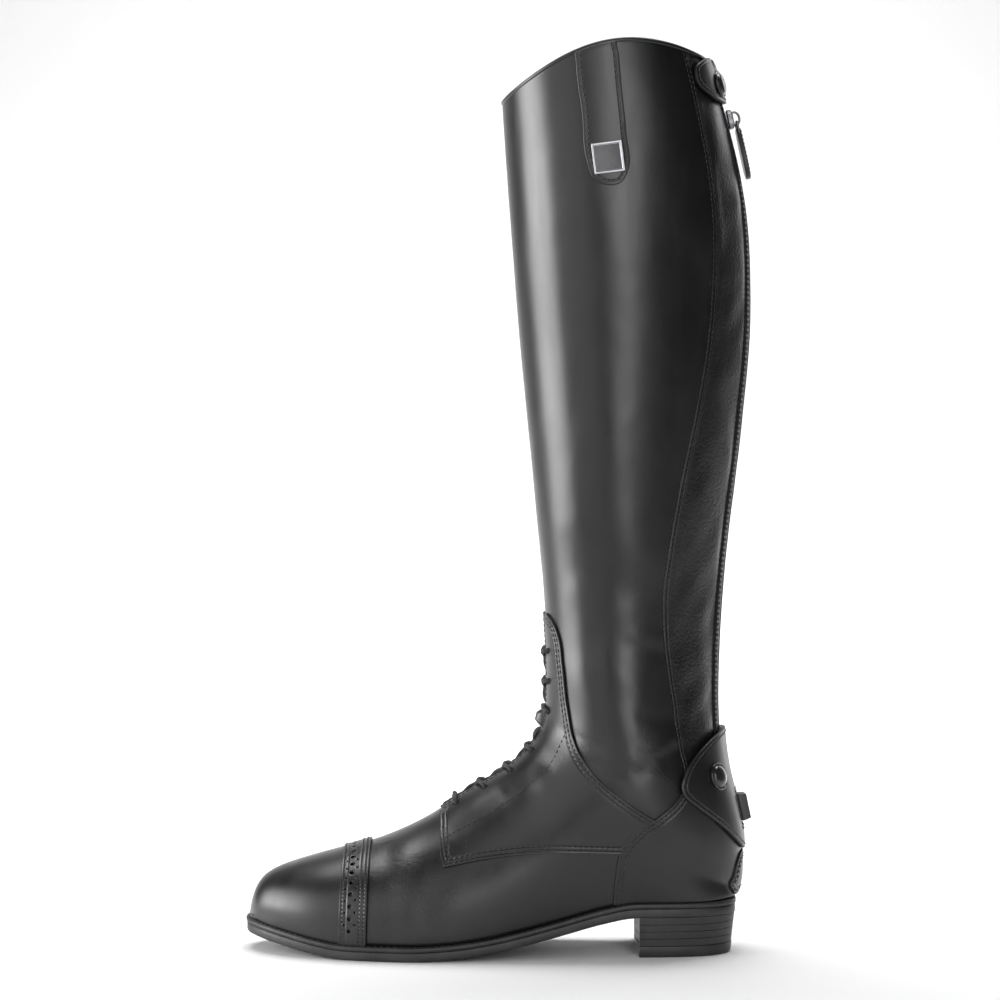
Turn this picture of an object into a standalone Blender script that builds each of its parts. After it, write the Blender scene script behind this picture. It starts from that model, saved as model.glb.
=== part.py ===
"""Tall laced riding boot for the left foot, empty and standing on its sole.

Lengths in the tables are millimetres, and the scene is in metres. The toe points along -X, the outer
(lateral) side of the foot faces -Y, the inner (medial) side faces +Y, and +Z is up. The origin is on
the floor under the heel.
"""

import math

import bmesh
import bpy
import numpy as np
from mathutils import Matrix, Vector
from mathutils.bvhtree import BVHTree

MM = 0.001

# Leather and clearances
WALL = 2.0
GAP = 0.3
SOLE_GAP = 0.45
OVERLAY = 1.2
REAR_PANEL_DROP = 0.9
SEAM_STEP = 1.3

# Openings of the upper, as half widths measured along the leather
THROAT_HALF = 5.5
ZIP_SLOT_HALF = 3.6
ZIP_GUARD = 12.0

# Sole unit, from the sole edge of the upper down to the floor
WELT_THICK = 3.0
OUTSOLE_THICK = 4.6
HEEL_TOP_PIECE = 6.0
WELT_REACH = 3.0
WELT_INSIDE = 9.0
OUTSOLE_REACH = 2.6
HEEL_REACH = 2.2
HEEL_BREAST_X = -33.0
HEEL_TAPER = 0.955
INSOLE_THICK = 3.0
INSOLE_INSET = WALL + 2.4
FOREFOOT_EDGE_Z = GAP + WELT_THICK + SOLE_GAP + OUTSOLE_THICK
HEEL_EDGE_Z = 30.0

# The boot is a fan of flat sections. Each runs from a front or top point to a back or bottom point in
# the middle plane, bulges to the two sides, and ends on the back line or at the sole edge.
SECTION_COLUMNS = (
    "front_x", "front_z", "back_x", "back_z", "front_y", "back_y",
    "lateral", "medial", "lateral_end", "medial_end",
)
SECTIONS = (
    # toe, from its nose to the ball
    (-245.6, 18.8, -245.6, 17.8, 7.0, 7.0, 7.0, 7.0, 7.0, 7.0),
    (-244.4, 28.0, -244.6, 17.6, 7.0, 7.0, -2.0, 16.0, -1.0, 15.0),
    (-240.6, 36.4, -240.4, 16.6, 6.7, 6.7, -9.5, 22.3, -8.3, 21.0),
    (-234.2, 41.5, -234.0, 15.4, 6.2, 6.2, -17.3, 28.5, -16.2, 27.0),
    (-223.5, 45.9, -223.5, 13.4, 5.3, 5.3, -25.8, 35.0, -24.5, 33.6),
    (-209.0, 50.5, -209.5, 10.7, 4.0, 4.0, -34.2, 40.7, -32.6, 39.2),
    (-192.0, 55.2, -192.0, FOREFOOT_EDGE_Z, 3.0, 2.5, -41.0, 44.6, -39.2, 43.0),
    (-175.0, 60.4, -174.0, FOREFOOT_EDGE_Z, 2.5, 1.0, -46.0, 46.2, -44.0, 44.3),
    (-160.0, 66.6, -155.0, FOREFOOT_EDGE_Z, 2.0, 0.0, -48.6, 45.4, -46.6, 43.2),
    (-146.5, 73.6, -135.0, 9.4, 1.8, 0.0, -48.6, 42.8, -46.0, 39.0),
    # instep and waist
    (-135.0, 81.2, -115.0, 11.9, 1.5, 0.0, -47.0, 40.4, -43.2, 34.4),
    (-122.5, 88.6, -94.0, 16.2, 1.2, 0.0, -45.2, 39.4, -39.4, 30.4),
    (-110.0, 95.6, -73.0, 21.4, 1.0, 0.0, -43.6, 39.2, -36.0, 28.6),
    (-99.5, 103.0, -52.0, 26.9, 0.8, 0.0, -43.0, 39.6, -33.6, 29.0),
    (-91.0, 111.5, -34.0, HEEL_EDGE_Z, 0.6, 0.0, -43.2, 40.4, -32.2, 30.2),
    (-85.6, 119.4, -14.0, HEEL_EDGE_Z, 0.4, 0.0, -43.6, 41.2, -31.4, 30.6),
    (-83.0, 126.0, 4.0, HEEL_EDGE_Z + 0.2, 0.2, 0.0, -44.0, 41.8, -27.5, 27.5),
    (-82.3, 130.2, 16.0, HEEL_EDGE_Z + 0.6, 0.0, 0.0, -44.2, 42.2, -18.0, 18.0),
    (-82.1, 132.8, 20.9, HEEL_EDGE_Z + 0.7, 0.0, 0.0, -44.3, 42.4, -7.7, 7.7),
    # heel and ankle, closed round the back from here up
    (-82.0, 135.0, 22.2, HEEL_EDGE_Z + 0.9, 0.0, 0.0, -44.3, 42.5, 0.0, 0.0),
    (-81.9, 139.0, 24.4, 43.0, 0.0, 0.0, -44.2, 42.5, 0.0, 0.0),
    (-81.8, 145.0, 24.0, 60.0, 0.0, 0.5, -44.0, 42.5, 0.5, 0.5),
    (-81.8, 151.5, 20.4, 80.0, 0.0, 1.2, -43.7, 42.4, 1.2, 1.2),
    (-82.0, 159.5, 15.6, 100.0, 0.0, 2.2, -43.2, 42.2, 2.2, 2.2),
    (-82.4, 169.5, 13.0, 121.0, 0.0, 3.0, -42.6, 42.0, 3.0, 3.0),
    (-83.2, 181.0, 12.3, 143.0, 0.0, 3.4, -42.3, 42.0, 3.4, 3.4),
    (-84.2, 194.5, 12.6, 166.0, 0.0, 3.3, -42.6, 42.0, 3.3, 3.3),
    # shaft up to the collar
    (-85.3, 210.0, 14.0, 190.0, -0.6, 3.1, -44.0, 42.4, 3.1, 3.1),
    (-87.3, 231.0, 16.6, 219.0, -1.2, 2.8, -46.0, 42.7, 2.8, 2.8),
    (-89.6, 255.0, 20.4, 251.0, -2.2, 2.0, -48.8, 43.0, 2.0, 2.0),
    (-93.7, 296.0, 25.5, 296.0, -3.5, 1.2, -51.5, 42.6, 1.2, 1.2),
    (-98.0, 340.0, 29.5, 340.0, -5.0, 0.5, -54.7, 42.0, 0.5, 0.5),
    (-101.6, 384.0, 29.0, 384.0, -7.0, -1.0, -58.0, 41.0, -1.0, -1.0),
    (-104.7, 428.0, 22.0, 430.0, -8.5, -2.6, -60.0, 39.0, -2.6, -2.6),
    (-107.0, 463.0, 6.5, 484.0, -9.0, -3.0, -60.0, 38.0, -3.0, -3.0),
)
THROAT_ROWS = (10, 25)
ZIP_ROWS = (23, 34)
FIRST_CLOSED_ROW = 19
COLLAR_ROW = len(SECTIONS) - 1

# How far along a section it is widest, and how square its front and its back are
SHAPE_COLUMNS = ("row", "widest", "front_round", "back_round")
SHAPES = (
    (0, 0.72, 2.2, 2.6),
    (4, 0.72, 2.2, 2.8),
    (7, 0.74, 2.05, 3.0),
    (10, 0.68, 1.95, 2.4),
    (12, 0.58, 2.0, 1.7),
    (14, 0.47, 2.05, 1.3),
    (16, 0.44, 2.1, 1.25),
    (17, 0.43, 2.1, 1.5),
    (18, 0.43, 2.1, 1.7),
    (19, 0.42, 2.15, 1.8),
    (22, 0.42, 2.2, 1.8),
    (25, 0.42, 2.15, 1.8),
    (31, 0.41, 2.1, 1.8),
    (34, 0.42, 2.1, 2.5),
)

# The seam between front and rear panels, as a share of each section's depth
SEAM_COLUMNS = ("row", "lateral", "medial")
SEAMS = (
    (0, 0.30, 0.30),
    (8, 0.36, 0.36),
    (14, 0.55, 0.55),
    (20, 0.75, 0.76),
    (22, 0.757, 0.80),
    (24, 0.75, 0.79),
    (25, 0.726, 0.765),
    (26, 0.704, 0.74),
    (27, 0.695, 0.73),
    (28, 0.713, 0.735),
    (29, 0.743, 0.76),
    (30, 0.794, 0.80),
    (31, 0.832, 0.845),
    (32, 0.855, 0.875),
    (33, 0.871, 0.895),
    (34, 0.875, 0.90),
)

# The collar stands higher on the outer side of the knee and dips on the inner side
COLLAR_COLUMNS = ("row", "lateral", "medial")
COLLAR = (
    (0, 0.0, 0.0),
    (32, 0.0, 0.0),
    (33, 6.0, -2.0),
    (34, 18.5, -5.5),
)

# The rows and columns of the skin that the upper and its overlays share: a few rows are added where the
# sole bends up to the heel and near the collar, and a few left out where the surface hardly changes
HEEL_BEND_ROWS = (13.33, 13.67)
COLLAR_ROWS = (32.5, 33.4, 33.75)
LEFT_OUT_ROWS = (18, 26, 28)
SKIN_ROWS = sorted({*range(len(SECTIONS)), *HEEL_BEND_ROWS, *COLLAR_ROWS}.difference(LEFT_OUT_ROWS))
FRONT_COLUMNS = 5
REAR_COLUMNS = 2
SHORT_SECTION = 60.0
FINE_STEPS = 40
SIDES = {"lateral": -1, "medial": 1}

# Overlay outlines seen from the lateral side, as (x, z, corner)
TOE_CAP_OUTLINE = (
    (-255.0, 19.6, True), (-238.0, 17.2, False), (-223.5, 14.4, False), (-209.0, 11.7, False),
    (-194.0, 9.3, False), (-179.6, 9.2, True), (-181.0, 30.0, False), (-178.6, 72.0, True),
    (-255.0, 72.0, True),
)
QUARTER_OUTLINE = (
    (-138.2, 50.2, True), (-114.8, 55.0, False), (-86.7, 58.1, False), (-66.0, 57.8, False),
    (-43.9, 57.2, True), (-39.6, 64.5, False), (-33.4, 71.0, False), (-27.4, 75.6, True),
    (-44.0, 88.6, False), (-57.2, 100.4, False), (-66.4, 115.0, False), (-70.8, 135.0, False),
    (-73.4, 158.0, False), (-75.6, 174.0, False), (-79.4, 183.2, False), (-86.5, 187.2, True),
    (-96.0, 187.2, True), (-92.0, 135.0, True), (-104.0, 114.0, True), (-141.0, 92.0, True),
    (-140.4, 77.0, True), (-140.2, 62.0, False),
)
COUNTER_OUTLINE = (
    (-46.6, 29.6, True), (-45.6, 44.0, False), (-43.2, 57.4, False), (-38.9, 64.2, False),
    (-32.8, 70.7, False), (-23.6, 76.9, False), (-14.4, 84.4, False), (-8.0, 92.0, True),
    (8.0, 97.0, True), (40.0, 99.0, True), (40.0, 30.9, True), (-34.0, 30.9, True),
)
STRAP_OUTLINE = (
    (-69.4, 505.0, True), (-67.1, 472.1, False), (-64.7, 455.4, False), (-61.8, 428.0, False),
    (-58.6, 419.6, False), (-51.0, 416.0, False), (-43.8, 417.4, False), (-40.2, 424.0, False),
    (-41.2, 443.0, False), (-43.6, 466.0, False), (-46.6, 505.0, True),
)

# Overlay outlines seen from behind, as (y, z, corner)
HEEL_FLAP_OUTLINE = (
    (6.4, 122.5, False), (-8.0, 120.8, False), (-19.6, 116.8, False), (-28.8, 110.2, False),
    (-35.2, 101.4, False), (-37.6, 94.2, False), (-37.2, 87.6, False), (-33.8, 81.4, False),
    (-28.8, 75.2, False), (-22.6, 68.8, False), (-14.6, 61.6, False), (-5.0, 56.3, False),
    (8.2, 55.8, False), (15.6, 60.5, False), (23.0, 68.8, False), (28.6, 75.4, False),
    (33.6, 81.6, False), (36.4, 88.0, False), (36.8, 94.4, False), (34.8, 101.6, False),
    (31.0, 110.4, False), (22.0, 118.4, False),
)
TOP_FLAP_OUTLINE = (
    (21.4, 474.0, False), (18.4, 467.6, False), (8.0, 464.9, False), (-15.9, 462.2, False),
    (-33.0, 464.6, False), (-42.0, 471.0, False), (-41.4, 479.5, False), (-33.0, 484.6, False),
    (-10.0, 482.0, False), (10.0, 480.6, False), (19.0, 479.0, False),
)
HEEL_PATCH_OUTLINE = (
    (-13.7, 35.5, True), (15.0, 35.5, True), (14.6, 47.0, False), (10.0, 53.6, False),
    (0.6, 54.6, False), (-8.7, 53.6, False), (-13.3, 47.0, False),
)

# Height of each sewn-on piece above the wall, and its thickness
FLAP_THICK = 2.2
HEEL_FLAP_LOW = GAP + OVERLAY + 0.4
TOP_FLAP_LOW = 0.5
HEEL_PATCH_LOW = GAP + OVERLAY + GAP
STRAP_THICK = 1.4

# Hardware
SNAP_RADIUS = 7.6
SNAP_HEIGHT = 2.6
HEEL_SNAP_SEAT = (7.8, 96.5)
TOP_SNAP_SEAT = (7.9, 471.5)
BADGE_SIDE = 16.3
BADGE_THICK = 1.8
BADGE_SEAT = (-51.0, 430.5)
BADGE_TILT = math.radians(7.5)
SPUR_REST_SIZE = (15.2, 11.3, 4.7)
SPUR_REST_SEAT = (3.0, 77.0)

# Back zip
ZIP_TAPE_ARCS = (9.5, ZIP_SLOT_HALF, 0.0, -ZIP_SLOT_HALF, -9.5)
ZIP_TAPE_THICK = 0.8
ZIP_TAPE_DEPTH = WALL + 2 * GAP
ZIP_CHAIN_ARCS = (2.9, 0.0, -2.9)
ZIP_CHAIN_THICK = 1.7
ZIP_TAPE_ROWS = (22, 33.75)
ZIP_CHAIN_ROWS = (23.15, 33.75)
SLIDER_Z = 454.0
SLIDER_SIZE = (8.4, 10.5, 3.6)
BAIL_HALF_LENGTH = 3.4
BAIL_RISE = 3.1
BAIL_WIRE = 0.65
LINK_WIRE = 0.6
LINK_HALF_WIDTH = 6.2
LINK_LENGTH = 6.6
TAB_THICK = 2.8
TAB_LENGTH = 28.0
TAB_TOP_HALF = 4.9
TAB_END_HALF = 7.7
TAB_EYE = 1.0
TAB_EYE_INSET = 2.6
TAB_CUT_HALF = 12.0
PULL_LEAN = math.radians(4.8)

# Tongue and lace
TONGUE_THICK = 1.8
TONGUE_ROWS = (9, 27)
TONGUE_BULGE_ARCS = (4.4, 2.2)
TONGUE_BULGE = 3.0
TONGUE_BULGE_ROW = 17.5
TONGUE_BULGE_SPREAD = 3.5
LACE_RADIUS = 1.25
LACE_SIDE_LIFT = GAP + OVERLAY + GAP + LACE_RADIUS
LACE_MIDDLE_LIFT = 3.0
EYELET_ARC = 10.5
FACING_EDGE_ARC = 6.2
FACING_EDGE_SHARE = 0.2
EYELET_ROWS = (10.3, 11.3, 12.4, 13.6, 14.9, 18.6, 21.8, 23.7)

FINISHES = {
    # colour, roughness, metallic
    "shaft_leather": ((0.012, 0.012, 0.013), 0.28, 0.0),
    "overlay_leather": ((0.010, 0.010, 0.011), 0.26, 0.0),
    "rubber": ((0.014, 0.014, 0.014), 0.6, 0.0),
    "lining": ((0.030, 0.028, 0.026), 0.7, 0.0),
    "textile": ((0.012, 0.012, 0.013), 0.8, 0.0),
    "metal": ((0.42, 0.42, 0.44), 0.3, 1.0),
    "dark_metal": ((0.05, 0.05, 0.055), 0.35, 1.0),
}

PARTS = bpy.data.collections.new("riding_boot")
CUTTERS = bpy.data.collections.new("riding_boot_cutters")


def clear_scene():
    """Remove what the file opened with and link the two collections."""
    for obj in list(bpy.data.objects):
        bpy.data.objects.remove(obj, do_unlink=True)
    bpy.context.scene.collection.children.link(PARTS)
    bpy.context.scene.collection.children.link(CUTTERS)


def finish(name):
    """Material with the colour and gloss of one finish."""
    existing = bpy.data.materials.get(name)
    if existing:
        return existing
    colour, roughness, metallic = FINISHES[name]
    material = bpy.data.materials.new(name)
    material.use_nodes = True
    shader = material.node_tree.nodes["Principled BSDF"]
    shader.inputs["Base Color"].default_value = (*colour, 1.0)
    shader.inputs["Roughness"].default_value = roughness
    shader.inputs["Metallic"].default_value = metallic
    material.diffuse_color = (*colour, 1.0)
    return material


def add_part(name, mesh, finish_name):
    """Named object for one piece of the boot."""
    obj = bpy.data.objects.new(name, mesh)
    mesh.materials.append(finish(finish_name))
    PARTS.objects.link(obj)
    return obj


def add_cutter(name, mesh):
    """Object that only shapes others and is not itself a piece."""
    obj = bpy.data.objects.new(name, mesh)
    obj.hide_render = True
    obj.display_type = "WIRE"
    CUTTERS.objects.link(obj)
    return obj


def smooth_read(keys, values, place):
    """Height of the smooth curve through (keys, values) that never overshoots its points."""
    keys = np.asarray(keys, dtype=float)
    values = np.asarray(values, dtype=float)
    slopes = np.diff(values) / np.diff(keys)
    tangents = np.zeros(len(keys))
    tangents[0] = slopes[0]
    tangents[-1] = slopes[-1]
    for i in range(1, len(keys) - 1):
        before, after = slopes[i - 1], slopes[i]
        if before * after > 0:
            tangents[i] = 2 * before * after / (before + after)
    i = int(np.clip(np.searchsorted(keys, place, side="right") - 1, 0, len(keys) - 2))
    width = keys[i + 1] - keys[i]
    s = (place - keys[i]) / width
    start = values[i] * (1 + 2 * s) * (1 - s) ** 2 + width * tangents[i] * s * (1 - s) ** 2
    end = values[i + 1] * s * s * (3 - 2 * s) + width * tangents[i + 1] * s * s * (s - 1)
    return float(start + end)


def read_table(columns, rows, place):
    """All columns of a table at one place, by its row column if it has one, else by row number."""
    keyed = columns[0] == "row"
    keys = [row[0] for row in rows] if keyed else range(len(rows))
    return {
        name: smooth_read(list(keys), [row[i] for row in rows], place)
        for i, name in enumerate(columns) if name != "row"
    }


def half_section(place, side):
    """Points of one side of a section, from front to back, with their depth share and their arc length."""
    section = read_table(SECTION_COLUMNS, SECTIONS, place)
    shape = read_table(SHAPE_COLUMNS, SHAPES, place)
    lift = read_table(COLLAR_COLUMNS, COLLAR, place)[side]
    front = np.array([section["front_x"], section["front_y"], section["front_z"]])
    back = np.array([section["back_x"], section["back_y"], section["back_z"]])
    widest, front_power, back_power = shape["widest"], shape["front_round"], shape["back_round"]
    middle_y = front[1] + (back[1] - front[1]) * widest
    width = abs(section[side] - middle_y)
    end = min(abs(section[side + "_end"] - back[1]), 0.999 * width)
    turn = np.linspace(0, math.pi / 2, FINE_STEPS)
    depth = widest * (1 - np.cos(turn) ** (2 / front_power))
    bulge = np.sin(turn) ** (2 / front_power)
    reach = (1 - (end / width) ** back_power) ** (1 / back_power) if width > 0 else 1.0
    turn = np.linspace(0, math.asin(min(1.0, reach ** (back_power / 2))), FINE_STEPS)[1:]
    depth = np.append(depth, widest + (1 - widest) * np.sin(turn) ** (2 / back_power) / reach)
    bulge = np.append(bulge, np.abs(np.cos(turn)) ** (2 / back_power))
    depth[-1] = 1.0
    bulge[-1] = end / width if width > 0 else 0.0
    points = front + np.outer(depth, back - front)
    points[:, 1] += SIDES[side] * width * bulge
    points[:, 2] += lift * np.sin(math.pi * depth)
    arc = np.append(0.0, np.cumsum(np.linalg.norm(np.diff(points, axis=0), axis=1)))
    return points, depth, arc


def along(points, arc, lengths):
    """Points at given lengths along a half section."""
    return np.stack([np.interp(lengths, arc, points[:, i]) for i in range(3)], axis=1)


def skin_columns(place, side):
    """Column points of the shared skin on one side, from the front line to the back line or sole edge."""
    points, depth, arc = half_section(place, side)
    length = arc[-1]
    scale = min(1.0, length / SHORT_SECTION)
    seam = np.interp(read_table(SEAM_COLUMNS, SEAMS, place)[side], depth, arc)
    throat = THROAT_HALF * scale
    guard = length - ZIP_GUARD * scale
    step = SEAM_STEP * scale
    lengths = [0.0]
    lengths.extend(np.linspace(throat, seam, FRONT_COLUMNS + 1))
    lengths.extend(np.linspace(seam + step, guard - step, REAR_COLUMNS + 1))
    lengths.extend((guard, length - ZIP_SLOT_HALF * scale, length))
    return along(points, arc, lengths)


# Column numbers on one side, counted from the front line
SEAM_COLUMN = 1 + FRONT_COLUMNS
REAR_PANEL_COLUMNS = range(SEAM_COLUMN + 1, SEAM_COLUMN + 2 + REAR_COLUMNS)
LAST_COLUMN = SEAM_COLUMN + 1 + REAR_COLUMNS + 3


def grid_mesh(name, grid, weights=None, left_out=None):
    """Open surface over a grid of points, welded where points meet, with an optional weight per vertex."""
    bm = bmesh.new()
    deform = bm.verts.layers.deform.verify()
    verts = [[bm.verts.new(Vector(point) * MM) for point in row] for row in grid]
    for r, row in enumerate(verts):
        for c, vert in enumerate(row):
            if weights:
                vert[deform][0] = weights(r, c)
    for r in range(len(verts) - 1):
        for c in range(len(verts[0]) - 1):
            if left_out and left_out(r, c):
                continue
            bm.faces.new((verts[r][c], verts[r][c + 1], verts[r + 1][c + 1], verts[r + 1][c]))
    bmesh.ops.remove_doubles(bm, verts=bm.verts, dist=1e-6)
    bmesh.ops.dissolve_degenerate(bm, edges=bm.edges, dist=1e-7)
    bmesh.ops.delete(bm, geom=[vert for vert in bm.verts if not vert.link_faces], context="VERTS")
    bmesh.ops.triangulate(bm, faces=bm.faces)
    mesh = bpy.data.meshes.new(name)
    bm.to_mesh(mesh)
    bm.free()
    return mesh


def skin_mesh(name, openings=True, first=0, last=COLLAR_ROW):
    """The boot's outer surface between two rows, its lacing throat and zip slot left open or closed over."""
    rows = [row for row in SKIN_ROWS if first <= row <= last]
    grid = []
    for place in rows:
        medial = skin_columns(place, "medial")
        lateral = skin_columns(place, "lateral")
        grid.append(np.vstack((medial[::-1], lateral[1:])))

    def rear_panel(r, c):
        on_panel = abs(c - LAST_COLUMN) in REAR_PANEL_COLUMNS
        return 1.0 if on_panel and rows[r] >= ZIP_ROWS[0] else 0.0

    def open_cell(r, c):
        column = max(LAST_COLUMN - 1 - c, c - LAST_COLUMN)
        in_throat = THROAT_ROWS[0] <= rows[r] < THROAT_ROWS[1] and column == 0
        in_zip = ZIP_ROWS[0] <= rows[r] < ZIP_ROWS[1] and column == LAST_COLUMN - 1
        return openings and (in_throat or in_zip)

    return grid_mesh(name, grid, rear_panel, open_cell)


def displace(obj, name, distance, group=""):
    """Move a surface along its normals."""
    modifier = obj.modifiers.new(name, "DISPLACE")
    modifier.mid_level = 0.0
    modifier.strength = distance * MM
    modifier.vertex_group = group


def thicken(obj, thickness, outward):
    """Give an open surface its thickness, outwards or inwards."""
    modifier = obj.modifiers.new("thickness", "SOLIDIFY")
    modifier.thickness = thickness * MM
    modifier.offset = 1.0 if outward else -1.0
    modifier.use_quality_normals = True


def cut(obj, cutter, operation):
    """Shape an object by another one."""
    modifier = obj.modifiers.new(cutter.name, "BOOLEAN")
    modifier.operation = operation
    modifier.object = cutter


def outline_mesh(name, outline, half_depth, steps=2):
    """Flat outline in local X and Y, with smooth and corner points, extruded both ways along Z."""
    curve = bpy.data.curves.new(name, "CURVE")
    curve.dimensions = "2D"
    curve.fill_mode = "BOTH"
    curve.extrude = half_depth * MM
    curve.resolution_u = steps
    spline = curve.splines.new("BEZIER")
    spline.bezier_points.add(len(outline) - 1)
    spline.use_cyclic_u = True
    for point, (across, up, corner) in zip(spline.bezier_points, outline):
        point.co = (across * MM, up * MM, 0.0)
        handle = "VECTOR" if corner else "AUTO"
        point.handle_left_type = handle
        point.handle_right_type = handle
    return curve_to_mesh(name, curve)


def curve_to_mesh(name, curve):
    """Closed mesh of a curve, with its caps welded on."""
    holder = bpy.data.objects.new(name, curve)
    PARTS.objects.link(holder)
    evaluated = holder.evaluated_get(bpy.context.evaluated_depsgraph_get())
    mesh = bpy.data.meshes.new_from_object(evaluated)
    mesh.materials.clear()
    bpy.data.objects.remove(holder, do_unlink=True)
    bm = bmesh.new()
    bm.from_mesh(mesh)
    bmesh.ops.remove_doubles(bm, verts=bm.verts, dist=1e-6)
    bmesh.ops.recalc_face_normals(bm, faces=bm.faces)
    bm.to_mesh(mesh)
    bm.free()
    mesh.name = name
    return mesh


CUTTER_REACH = 120.0
SIDE_VIEW = Matrix(((1, 0, 0, 0), (0, 0, -1, 0), (0, 1, 0, 0), (0, 0, 0, 1)))
BACK_VIEW = Matrix(((0, 0, 1, 0), (1, 0, 0, 0), (0, 1, 0, 0), (0, 0, 0, 1)))


def side_cutter(name, outline, lateral_only=False):
    """Prism across the boot from an outline seen from the lateral side."""
    cutter = add_cutter(name + "_outline", outline_mesh(name, outline, CUTTER_REACH))
    shift = -CUTTER_REACH * MM if lateral_only else 0.0
    cutter.matrix_world = Matrix.Translation((0.0, shift, 0.0)) @ SIDE_VIEW
    return cutter


def back_cutter(name, outline, start_x):
    """Prism from start_x backwards, from an outline seen from behind."""
    cutter = add_cutter(name + "_outline", outline_mesh(name, outline, CUTTER_REACH))
    cutter.matrix_world = Matrix.Translation(((start_x + CUTTER_REACH) * MM, 0.0, 0.0)) @ BACK_VIEW
    return cutter


def sewn_on(name, rows, low, thickness, cutter, openings=True):
    """Overlay cut from a layer over the boot's surface between two of its rows."""
    obj = add_part(name, skin_mesh(name, openings, *rows), "overlay_leather")
    displace(obj, "height", low)
    thicken(obj, thickness, outward=True)
    cut(obj, cutter, "INTERSECT")
    return obj


def make_upper():
    """Vamp and shaft as one wall; the rear panels lie lower than the front panel and the zip guards."""
    obj = add_part("upper", skin_mesh("upper"), "shaft_leather")
    obj.vertex_groups.new(name="rear_panels")
    displace(obj, "rear_panels", -REAR_PANEL_DROP, "rear_panels")
    thicken(obj, WALL, outward=False)


def make_overlays():
    """Pieces sewn on over the upper."""
    sewn_on("toe_cap", (0, 9), GAP, OVERLAY, side_cutter("toe_cap", TOE_CAP_OUTLINE))
    sewn_on("quarter", (8, 27), GAP, OVERLAY, side_cutter("quarter", QUARTER_OUTLINE))
    sewn_on("counter", (11, 25), GAP, OVERLAY, side_cutter("counter", COUNTER_OUTLINE))
    strap_cutter = side_cutter("side_strap", STRAP_OUTLINE, lateral_only=True)
    sewn_on("side_strap", (31, COLLAR_ROW), GAP, STRAP_THICK, strap_cutter)
    patch_cutter = back_cutter("heel_patch", HEEL_PATCH_OUTLINE, 0.0)
    sewn_on("heel_patch", (16, 24), HEEL_PATCH_LOW, OVERLAY, patch_cutter, openings=False)
    heel_cutter = back_cutter("heel_flap", HEEL_FLAP_OUTLINE, -20.0)
    sewn_on("heel_flap", (19, 27), HEEL_FLAP_LOW, FLAP_THICK, heel_cutter, openings=False)
    top_cutter = back_cutter("top_flap", TOP_FLAP_OUTLINE, -20.0)
    sewn_on("top_flap", (32, COLLAR_ROW), TOP_FLAP_LOW, FLAP_THICK, top_cutter, openings=False)


def sole_edge_height(x):
    """Height of the sole edge at a distance along the foot."""
    back_x = SECTION_COLUMNS.index("back_x")
    back_z = SECTION_COLUMNS.index("back_z")
    foot = SECTIONS[:FIRST_CLOSED_ROW]
    inside = np.clip(x, foot[0][back_x], foot[-1][back_x])
    height = smooth_read([row[back_x] for row in foot], [row[back_z] for row in foot], inside)
    return min(height, HEEL_EDGE_Z)


def sole_outline(grow, places):
    """Sole edge of the upper on both sides, moved outwards in plan by grow."""
    sides = {}
    for side, sign in SIDES.items():
        rows = [read_table(SECTION_COLUMNS, SECTIONS, place) for place in places]
        edge = np.array([(row["back_x"], row[side + "_end"], row["back_z"]) for row in rows])
        run = np.gradient(edge[:, :2], axis=0)
        run[0] = (0.0, sign)
        if places[-1] == FIRST_CLOSED_ROW:
            run[-1] = (0.0, -sign)
        outward = sign * np.stack((-run[:, 1], run[:, 0]), axis=1)
        edge[:, :2] += grow * outward / np.linalg.norm(outward, axis=1, keepdims=True)
        edge[:, 2] = [sole_edge_height(x) for x in edge[:, 0]]
        sides[side] = edge
    return sides["lateral"], sides["medial"]


SOLE_PLACES = np.array(sorted({*range(FIRST_CLOSED_ROW + 1), *HEEL_BEND_ROWS}))
WELT_END_STATIONS = 3


def sole_plate(name, finish_name, grow, drop, thickness):
    """Plate under the sole edge, following its arch and toe spring."""
    lateral, medial = sole_outline(grow, SOLE_PLACES)
    grid = np.stack((medial, lateral), axis=1)
    grid[:, :, 2] -= drop
    obj = add_part(name, grid_mesh(name, grid), finish_name)
    thicken(obj, thickness, outward=False)
    return obj


def make_sole():
    """Welt round the sole edge, outsole under it, insole inside the upper."""
    loops = []
    for reach, skipped in ((WELT_REACH, 0), (-WELT_INSIDE, WELT_END_STATIONS)):
        places = SOLE_PLACES[skipped:len(SOLE_PLACES) - skipped]
        lateral, medial = (
            np.pad(edge, ((skipped, skipped), (0, 0)), mode="edge") for edge in sole_outline(reach, places)
        )
        loops.append(np.vstack((medial, lateral[::-1], medial[:1])))
    ring = np.stack(loops, axis=1)
    ring[:, :, 2] -= GAP
    welt = add_part("welt", grid_mesh("welt", ring), "rubber")
    thicken(welt, WELT_THICK, outward=False)
    sole_plate("outsole", "rubber", OUTSOLE_REACH, GAP + WELT_THICK + SOLE_GAP, OUTSOLE_THICK)
    sole_plate("insole", "lining", -INSOLE_INSET, -INSOLE_THICK, INSOLE_THICK - GAP)


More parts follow.
